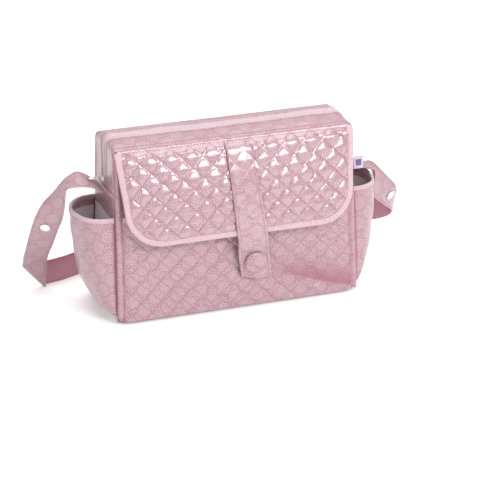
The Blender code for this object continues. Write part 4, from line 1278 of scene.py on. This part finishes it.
def flap_grid(inset, first, step):
    straight_rows = int((FLAP_LENGTH - FLAP_CORNER - first) / step)
    halves, drops = flap_outline(inset, first, straight_rows, int(FLAP_CORNER * 1.5 / step))
    share = np.linspace(-1.0, 1.0, int(2.0 * FLAP_TOP_HALF_WIDTH / step) + 1)
    return halves[:, None] * share[None, :], np.broadcast_to(drops[:, None], (len(drops), len(share))).copy()


def tab_place(drop, across):
    """A point on the tab's middle surface; across runs from -1 at the left to 1."""
    shift, width = tab_value(TAB_SHIFTS, drop), tab_value(TAB_HALF_WIDTHS, drop)
    x = shift + across * width
    above = flap_belly(x, drop) * (1.0 - smoothstep(0.125, 0.150, drop))
    tuck = 0.0044 * (1.0 - smoothstep(0.0, 0.012, drop))
    telegraph = 0.0012 * quilt(*on_print(FLAP_PRINT, x, drop)) * smoothstep(0.150, 0.110, drop)
    return flap_place(x, drop, tab_value(TAB_LIFTS, drop) + above + telegraph - tuck)


def make_flap():
    x, drop = flap_grid(0.5 * BINDING_WIDTH, -0.003, 0.0012)
    relief = quilted_relief("flap_pad", FLAP_PRINT, 0.200, -0.010, 0.152, PUFF, 1.0)
    shell = sheet("quilted_flap", lambda a, b: flap_form(a, b, relief), x, drop, 0.0026, QUILTED, LINING,
                  outward=(0, -1, 0), lie=FLAP_PRINT)
    blend(shell, "flap", FLAP_ROOT, FLAP_FREE, "quilted_print", "flap_shell")

    def lining_form(x, drop):
        edge = flap_distance(x, drop) - 0.5 * BINDING_WIDTH
        sag = 0.0007 * ripple(x, drop, 0.05, 83) * smoothstep(0.0, 0.02, edge)
        return flap_place(x, drop, -0.0030 + 0.75 * flap_belly(x, drop) + sag)

    x, drop = flap_grid(0.6 * BINDING_WIDTH, 0.004, 0.004)
    back = sheet("flap_lining_cloth", lining_form, x, drop, 0.0006, LINING, outward=(0, 1, 0))
    blend(back, "flap", FLAP_ROOT, FLAP_FREE, "lining_cloth", "flap_lining")

    inset = 0.5 * BINDING_WIDTH
    right_x, right_drop = flap_outline(inset, -0.001, 60, 46)
    straight = np.linspace(-right_x[-1], right_x[-1], 150)[1:-1]
    path_x = np.concatenate([-right_x, straight, right_x[::-1]])
    path_drop = np.concatenate([right_drop, right_drop[-1] + 0.0 * straight, right_drop[::-1]])
    wave = 0.0008 * ripple(path_x, path_drop, 0.07, 84)
    centre = flap_place(path_x, path_drop, wave - 0.0026 * (1.0 - smoothstep(0.0, 0.010, path_drop)))
    along = np.gradient(centre, axis=0)
    item = band("flap_hem", centre, np.cross(along, OUT), inset, BINDING_HALF_THICKNESS, BINDING, columns=30,
                relief=lambda s, t: 0.00022 * ripple(s, t * 0.003, 0.010, 85) * (1.0 - t ** 2))
    blend(item, "flap", FLAP_ROOT, FLAP_FREE, "bias_binding", "flap_binding")
    inner = unit(np.cross(OUT, along))
    middle = flap_place(0.0, 0.06, 0.0)
    toward = np.where(np.sum((middle - centre) * inner, axis=1)[:, None] > 0.0, inner, -inner)
    path = centre + toward * (inset - 0.0018) + OUT * (BINDING_HALF_THICKNESS * 0.97)
    path = path[6:-6]
    sew("flap_hem_stitching", [(path, np.broadcast_to(OUT, path.shape))], "flap")


def make_tab():
    drops = np.concatenate([np.linspace(0.001, 0.140, 70), np.linspace(0.1415, TAB_DROPS[-1], 60)])
    share = np.concatenate([[-1.0], np.linspace(-0.97, 0.97, 25), [1.0]])

    def form(u, v):
        """u is the place across as a length of the widest tab, v the drop; the tip hangs lower."""
        across = np.clip(u / TAB_HALF, -1.0, 1.0)
        tip = (TAB_TIP * (1.0 - np.abs(across)) + TAB_SKEW * across) * smoothstep(0.180, TAB_DROPS[-1], v)
        edge = (1.0 - np.abs(across)) * 0.024
        end = TAB_DROPS[-1] - v
        pillow = 0.0008 * bump(edge, 0.0045, 0.040) + 0.0005 * bump(edge, 0.0003, 0.0040)
        uneven = 0.0004 * ripple(u, v, 0.03, 90) * smoothstep(0.0, 0.01, edge)
        pillow = pillow * smoothstep(0.0, 0.006, end) + uneven
        points = tab_place(v, across)
        step = 0.001
        slope = tab_place(v + step, across) - tab_place(v - step, across)
        out = facing_front(unit(np.cross(slope, SIDEWAYS)))
        fall = roll(np.minimum(edge, end + 0.001), 0.0019)
        points = points + out * (TAB_HALF_THICKNESS + pillow - fall)[..., None]
        points[..., 2] -= tip
        return points

    v, u = np.meshgrid(drops, share * TAB_HALF, indexing="ij")
    edge = (TAB_HALF - np.abs(u)) * 0.96
    mark = 0.45 * np.maximum(sewn(edge - 0.0042, 0.0012), sewn(TAB_DROPS[-1] - v - 0.0042, 0.0012))
    tab = sheet("tab_cloth", form, u, v, 2.0 * TAB_HALF_THICKNESS, TAB_FACE, LINING, mark, (0, -1, 0))
    blend(tab, "flap", FLAP_ROOT, FLAP_FREE, "plain_print", "flap_tab")
    run = np.linspace(0.012, TAB_DROPS[-1] - 0.004, 180)
    paths = [on_surface(form, s * TAB_STITCH + 0.0 * run, run, outward=(0, -1, 0)) for s in (-1, 1)]
    foot = np.linspace(-TAB_STITCH, TAB_STITCH, 60)
    paths.append(on_surface(form, foot, TAB_DROPS[-1] - 0.004 + 0.0 * foot, outward=(0, -1, 0)))
    sew("tab_stitching", paths, "flap")

    above, centre, below = [tab_place(np.array(BUTTON_DROP + step), np.array(0.0))
                            for step in (-0.005, 0.0, 0.005)]
    out = facing_front(unit(np.cross(below - above, SIDEWAYS)))
    button = turned("covered_button", dome(BUTTON_RADIUS, BUTTON_HEIGHT, 0.0022, 20), centre + out * 0.0021,
                    out, PRINTED, 96, pleats=32, pleat_depth=0.010)
    ride(button, "flap", "plain_print", "button")


# ---------------------------------------------------------------- strap

def strap_sections(route, stretch=None):
    stretch = stretch or [1.0] * len(route)
    middles = np.array([middle for middle, _ in route])
    across = unit(np.array([lower for _, lower in route]))
    return middles, across * 0.5 * STRAP_WIDTH * np.array(stretch)[:, None]


def ribbon(name, middles, reach, steps, first_row, last_row):
    """The strap between two of its sections, with rounded, edge-stitched sides."""
    count = len(middles) - 1
    rows = np.linspace(first_row, last_row, int(round((last_row - first_row) * steps)) + 1)
    upper = catmull(np.arange(count + 1), middles - reach, rows)
    lower = catmull(np.arange(count + 1), middles + reach, rows)
    centre = 0.5 * (upper + lower)
    half = 0.5 * np.linalg.norm(lower - upper, axis=1)
    along = np.gradient(centre, axis=0)
    length = lengths_along(centre)[-1]
    out = unit(np.cross(along, lower - upper))

    def relief(s, t):
        ridge = 0.0003 * bump(1.0 - np.abs(t), 0.02, 0.16)
        ends = smoothstep(0.0, 0.025, np.minimum(s, length - s))
        return ridge + 0.0005 * ripple(t * 0.02, s, 0.05, 95) * (1.0 - t ** 2) * ends

    # The inner face takes the strap print with painted shade and a painted pink glow.
    item = band(name, centre, lower - upper, half, STRAP_HALF_THICKNESS, STRAP_FACE, STRAP_BACK_PAINTED_SHADE,
                columns=40, relief=relief)
    paths = []
    for side in (-1.0, 1.0):
        place = centre + unit(lower - upper) * (half - STRAP_STITCH)[:, None] * side
        paths.append((place + out * STRAP_HALF_THICKNESS * 0.96, out))
        paths.append((place - out * STRAP_HALF_THICKNESS * 0.96, -out))
    return item, paths, length


def make_strap():
    for word, sign, route in (("left", -1, END_LEFT + STRAP_LEFT[:2]),
                              ("right", 1, END_RIGHT + STRAP_RIGHT[::-1][:2])):
        middles, reach = strap_sections(route)
        item, paths, length = ribbon("strap_end_cloth_" + word, middles, -sign * reach, 10,
                                     0.0, STRAP_JOINT + STRAP_OVERLAP)
        x, _, z = middles[STRAP_JOINT]
        start, end = (sign * (BASE_HALF_WIDTH + STRAP_BEND_START), 0.0, z), (x, 0.0, z)
        blend(item, "strap", start, end, "strap_band", "strap_end_" + word)
        blend(stitches("strap_end_stitching_" + word, paths), "strap", start, end, "bias_binding")
    parts = [strap_sections(route, stretch) for route, stretch in (
        (END_LEFT[-1:], None), (STRAP_LEFT, None), (STRAP_FOLD, FOLD_STRETCH), (STRAP_FLOOR, None),
        (STRAP_RIGHT, None), (END_RIGHT[-1:], None))]
    middles, reach = [np.concatenate(values) for values in zip(*parts)]
    last = len(middles) - 2
    strap, paths, length = ribbon("strap_cloth", middles, reach, 12, 1.0, float(last))
    ride(strap, "strap", "strap_band", "shoulder_strap")
    sew("strap_stitching", paths, "strap")
    for word, index in (("left", 1 + SNAP_SECTION), ("right", last - SNAP_SECTION)):
        along = middles[index + 1] - middles[index - 1]
        out = facing_front(unit(np.cross(along, reach[index])))
        for name, node, profile, way in (("snap_button_", "snap_cap_", SNAP_CAP, out),
                                         ("snap_ring_", "snap_socket_", SNAP_SOCKET, -out)):
            disc = turned(name + word, profile, middles[index] + way * SNAP_LIFT, way, SNAP, 40)
            ride(disc, "strap", "snap_plastic", node + word)


# ---------------------------------------------------------------- zip slider and pull

def bevelled(name, parts, material, bevel):
    """One piece from several rounded blocks, each (centre, size)."""
    build = bmesh.new()
    for centre, size in parts:
        made = bmesh.ops.create_cube(build, size=1.0)
        bmesh.ops.scale(build, vec=size, verts=made["verts"])
        bmesh.ops.translate(build, vec=centre, verts=made["verts"])
    bmesh.ops.bevel(build, geom=list(build.edges), offset=bevel, segments=3, affect="EDGES", profile=0.5)
    return finish_build(name, build, material, 40.0)


def make_zip_hardware():
    low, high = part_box("zip_slider")
    centre, size = (low + high) / 2, high - low
    plate = 0.0011
    slider = bevelled("zip_slider_body", [
        ((low.x + 0.5 * plate, 0.0, centre.z), (plate, size.y * 0.82, size.z)),
        ((high.x - 0.5 * plate, 0.0, centre.z), (plate, size.y, size.z)),
        ((centre.x, 0.0, high.z - 0.0012), (size.x, 0.0020, 0.0022)),
        ((low.x - 0.0001, 0.0, centre.z + 0.0022), (0.0012, 0.0018, 0.0046))], ZIP_METAL, 0.0004)
    ride(slider, "zip_slider", "zip_metal", "zip_slider")
    low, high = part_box("zip_pull")
    length, half = high.x - low.x, 0.5 * (high.y - low.y)
    rail, plate = 0.0015, 0.0013
    z = 0.5 * (low.z + high.z)
    pull = bevelled("zip_pull_tab", [
        ((low.x + 0.36 * length, 0.0, z), (0.72 * length, 2.0 * half, plate)),
        ((high.x - 0.15 * length, half - 0.5 * rail, z), (0.34 * length, rail, plate)),
        ((high.x - 0.15 * length, rail * 0.5 - half, z), (0.34 * length, rail, plate)),
        ((high.x - 0.5 * rail, 0.0, z), (rail, 2.0 * half, plate)),
        ((low.x + 0.30 * length, 0.0, z), (0.40 * length, 1.1 * half, 0.0021))], ZIP_METAL, 0.0004)
    ride(pull, "zip_pull", "zip_metal", "zip_pull")


# ---------------------------------------------------------------- label and inside

def make_label():
    low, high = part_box("side_label")
    heights = np.linspace(low.z, high.z, 14)
    centre = join(0.5 * (low.x + high.x), 0.5 * (low.y + high.y), heights)
    item = band("folded_label", centre, join(1.0, 0.0, 0.0 * heights), 0.5 * (high.x - low.x), 0.0007, LABEL,
                columns=20, relief=lambda s, t: 0.0003 * np.sin(t * 2.0) * bump(s, 0.0, 0.02))
    ride(item, "root", "label_cloth", "side_label")
    size = high - low
    block = (0.5 * (low + high), (0.62 * size.x, 0.0021, 0.52 * size.z))
    patch = bevelled("label_patch", [block], LABEL_PATCH, 0.0005)
    set_cloth(patch.data, [(v.co.x, v.co.z, 0.0) for v in patch.data.vertices])
    ride(patch, "root", "label_cloth")


def make_inside():
    low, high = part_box("lining")
    top = SEAM_HEIGHT - 0.014

    def wall(u, z):
        """Round the four walls: u is the distance from the middle of the front."""
        foot = 0.011 * (1.0 - smoothstep(low.z, low.z + 0.026, z))
        wide, deep, corner = half_width(z) - 0.0042 - foot, inner_depth(z) - 0.0012, 0.010
        side, end = wide - corner, deep - corner
        arc = 0.5 * np.pi * corner
        lengths = np.stack(np.broadcast_arrays(side, arc, 2 * end, arc, 2 * side, arc, 2 * end, arc, side))
        ends = np.cumsum(lengths, axis=0)
        place = u * ends[-1]
        x, y = 0.0 * place, 0.0 * place
        starts = ends - lengths
        shapes = [lambda d, c: (d, -deep),
                  lambda d, c: (side + corner * np.sin(c), -end - corner * np.cos(c)),
                  lambda d, c: (wide, -end + d),
                  lambda d, c: (side + corner * np.cos(c), end + corner * np.sin(c)),
                  lambda d, c: (side - d, deep),
                  lambda d, c: (-side - corner * np.sin(c), end + corner * np.cos(c)),
                  lambda d, c: (-wide, end - d),
                  lambda d, c: (-side - corner * np.cos(c), -end - corner * np.sin(c)),
                  lambda d, c: (-side + d, -deep)]
        for k, shape in enumerate(shapes):
            here = (place >= starts[k] - 1e-12) & (place <= ends[k] + 1e-12)
            distance = place - starts[k]
            some_x, some_y = shape(distance, distance / corner)
            x, y = np.where(here, some_x, x), np.where(here, some_y, y)
        slack = 0.0010 * ripple(u * 0.9, z, 0.07, 101) * smoothstep(high.z, high.z - 0.03, z)
        return join(x * (1.0 - slack / wide), y * (1.0 - slack / deep), z)

    heights = np.linspace(low.z, top, 40)
    v, u = np.meshgrid(heights, np.linspace(0.0, 1.0, 260), indexing="ij")
    item = sheet("lining_walls", wall, u, v, 0.0007, LINING)
    ride(item, "root", "lining_cloth", "lining")
    x, y = np.meshgrid(np.linspace(-FLOOR_HALF_LENGTH, FLOOR_HALF_LENGTH, 60),
                       np.linspace(-FLOOR_HALF_DEPTH, FLOOR_HALF_DEPTH, 24), indexing="ij")
    level = low.z + 0.0010
    floor_cloth = sheet("lining_floor", lambda a, b: join(a, b, level + 0.0004 * ripple(a, b, 0.06, 102)),
                        x, y, 0.0007, LINING, outward=(0, 0, 1))
    ride(floor_cloth, "root", "lining_cloth")

    low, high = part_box("inner_pocket")
    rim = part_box("inner_pocket_elastic")[1].z

    def pocket(x, z):
        front = inner_depth(z) - 0.0020 - 0.0120
        gather = 0.0011 * np.sin(x / 0.0021) * smoothstep(high.z - 0.05, high.z, z)
        soft = smoothstep(0.0, 0.012, high.x - np.abs(x)) * smoothstep(0.0, 0.015, z - low.z)
        wall_gap = 0.0118 * (1.0 - soft)
        return join(x, front + wall_gap + gather * soft + 0.0008 * ripple(x, z, 0.05, 104) * soft, z)

    z, x = np.meshgrid(graded(low.z, rim - 0.008, 0.003, 0.004), graded(low.x, high.x, 0.0011, 0.004),
                       indexing="ij")
    item = sheet("inside_pocket_cloth", pocket, x, z, 0.0008, LINING, outward=(0, -1, 0))
    ride(item, "root", "lining_cloth", "inner_pocket")
    run = np.linspace(low.x, high.x, 240)
    elastic = binding_rim("inside_pocket_elastic", pocket, run, rim - 0.005 + 0.0 * run, 0.010,
                          "inner_pocket_elastic", thickness=0.0012, outward=(0, -1, 0))


def finish_carried_nodes():
    """The frame's own stiffener and magnet discs stay as they are, in better materials."""
    for name, material in (("base_board", BOARD), ("magnet", STEEL), ("magnet_socket", STEEL)):
        item = frame["nodes"][name]
        for slot in item.material_slots:
            slot.material = material


# ---------------------------------------------------------------- studio

LIGHTS = (("key", (0.67, -1.88, 1.52), (0.0, -0.07, 0.20), (1.7, 0.78), 40.0),
          ("fill", (-1.8, -1.2, 1.6), (0.0, 0.0, 0.1), (1.6, 1.6), 8.0),
          ("top", (0.0, 0.3, 2.2), (0.0, 0.0, 0.1), (2.0, 2.0), 31.0))     # place, target, size, watts
WORLD_STRENGTH = 0.61
FLOOR_GLOW = 0.22
FLOOR_HALF_SIZE = 12
FLOOR_DROP = 0.0006          # just under the bag's foot
SENSOR_WIDTH = 36.0


def area_light(name, place, target, size, power):
    data = bpy.data.lights.new(name, "AREA")
    data.shape = "RECTANGLE"
    data.size, data.size_y = size
    data.energy = power
    item = add_object(name, data)
    item.location = place
    item.rotation_euler = (Vector(target) - Vector(place)).to_track_quat("-Z", "Y").to_euler()


def make_studio():
    shader = Shader("floor_paper", base_color=(0.90, 0.90, 0.90, 1.0), roughness=0.9,
                    emission_color=(1.0, 1.0, 1.0, 1.0), emission_strength=FLOOR_GLOW)
    corners = [(x * FLOOR_HALF_SIZE, y * FLOOR_HALF_SIZE, 0) for x, y in ((-1, -1), (1, -1), (1, 1), (-1, 1))]
    floor = new_piece("floor", corners, [[0, 1, 2, 3]], [shader.material])
    floor.location.z = -FLOOR_DROP
    world = bpy.data.worlds.new("studio")
    world.use_nodes = True
    background = world.node_tree.nodes["Background"]
    background.inputs["Color"].default_value = (1.0, 1.0, 1.0, 1.0)
    background.inputs["Strength"].default_value = WORLD_STRENGTH
    bpy.context.scene.world = world
    bpy.context.scene.view_settings.view_transform = "Standard"
    for light in LIGHTS:
        area_light(*light)
    data = bpy.data.cameras.new("camera")
    data.lens = CAMERA_LENS
    data.sensor_width = SENSOR_WIDTH
    data.clip_end = 50.0
    camera = add_object("camera", data)
    level = math.cos(CAMERA_ELEVATION)
    back = Vector((math.sin(CAMERA_AZIMUTH) * level, -math.cos(CAMERA_AZIMUTH) * level,
                   math.sin(CAMERA_ELEVATION)))
    camera.location = CAMERA_TARGET + back * CAMERA_DISTANCE
    camera.rotation_euler = (-back).to_track_quat("-Z", "Y").to_euler()
    bpy.context.scene.camera = camera


for make in (make_studio, make_strap, make_main_panels, make_sides, make_base, make_top, make_front_pocket,
             make_bottle_pockets, make_flap, make_tab, make_zip_hardware, make_label, make_inside,
             finish_carried_nodes):
    make()
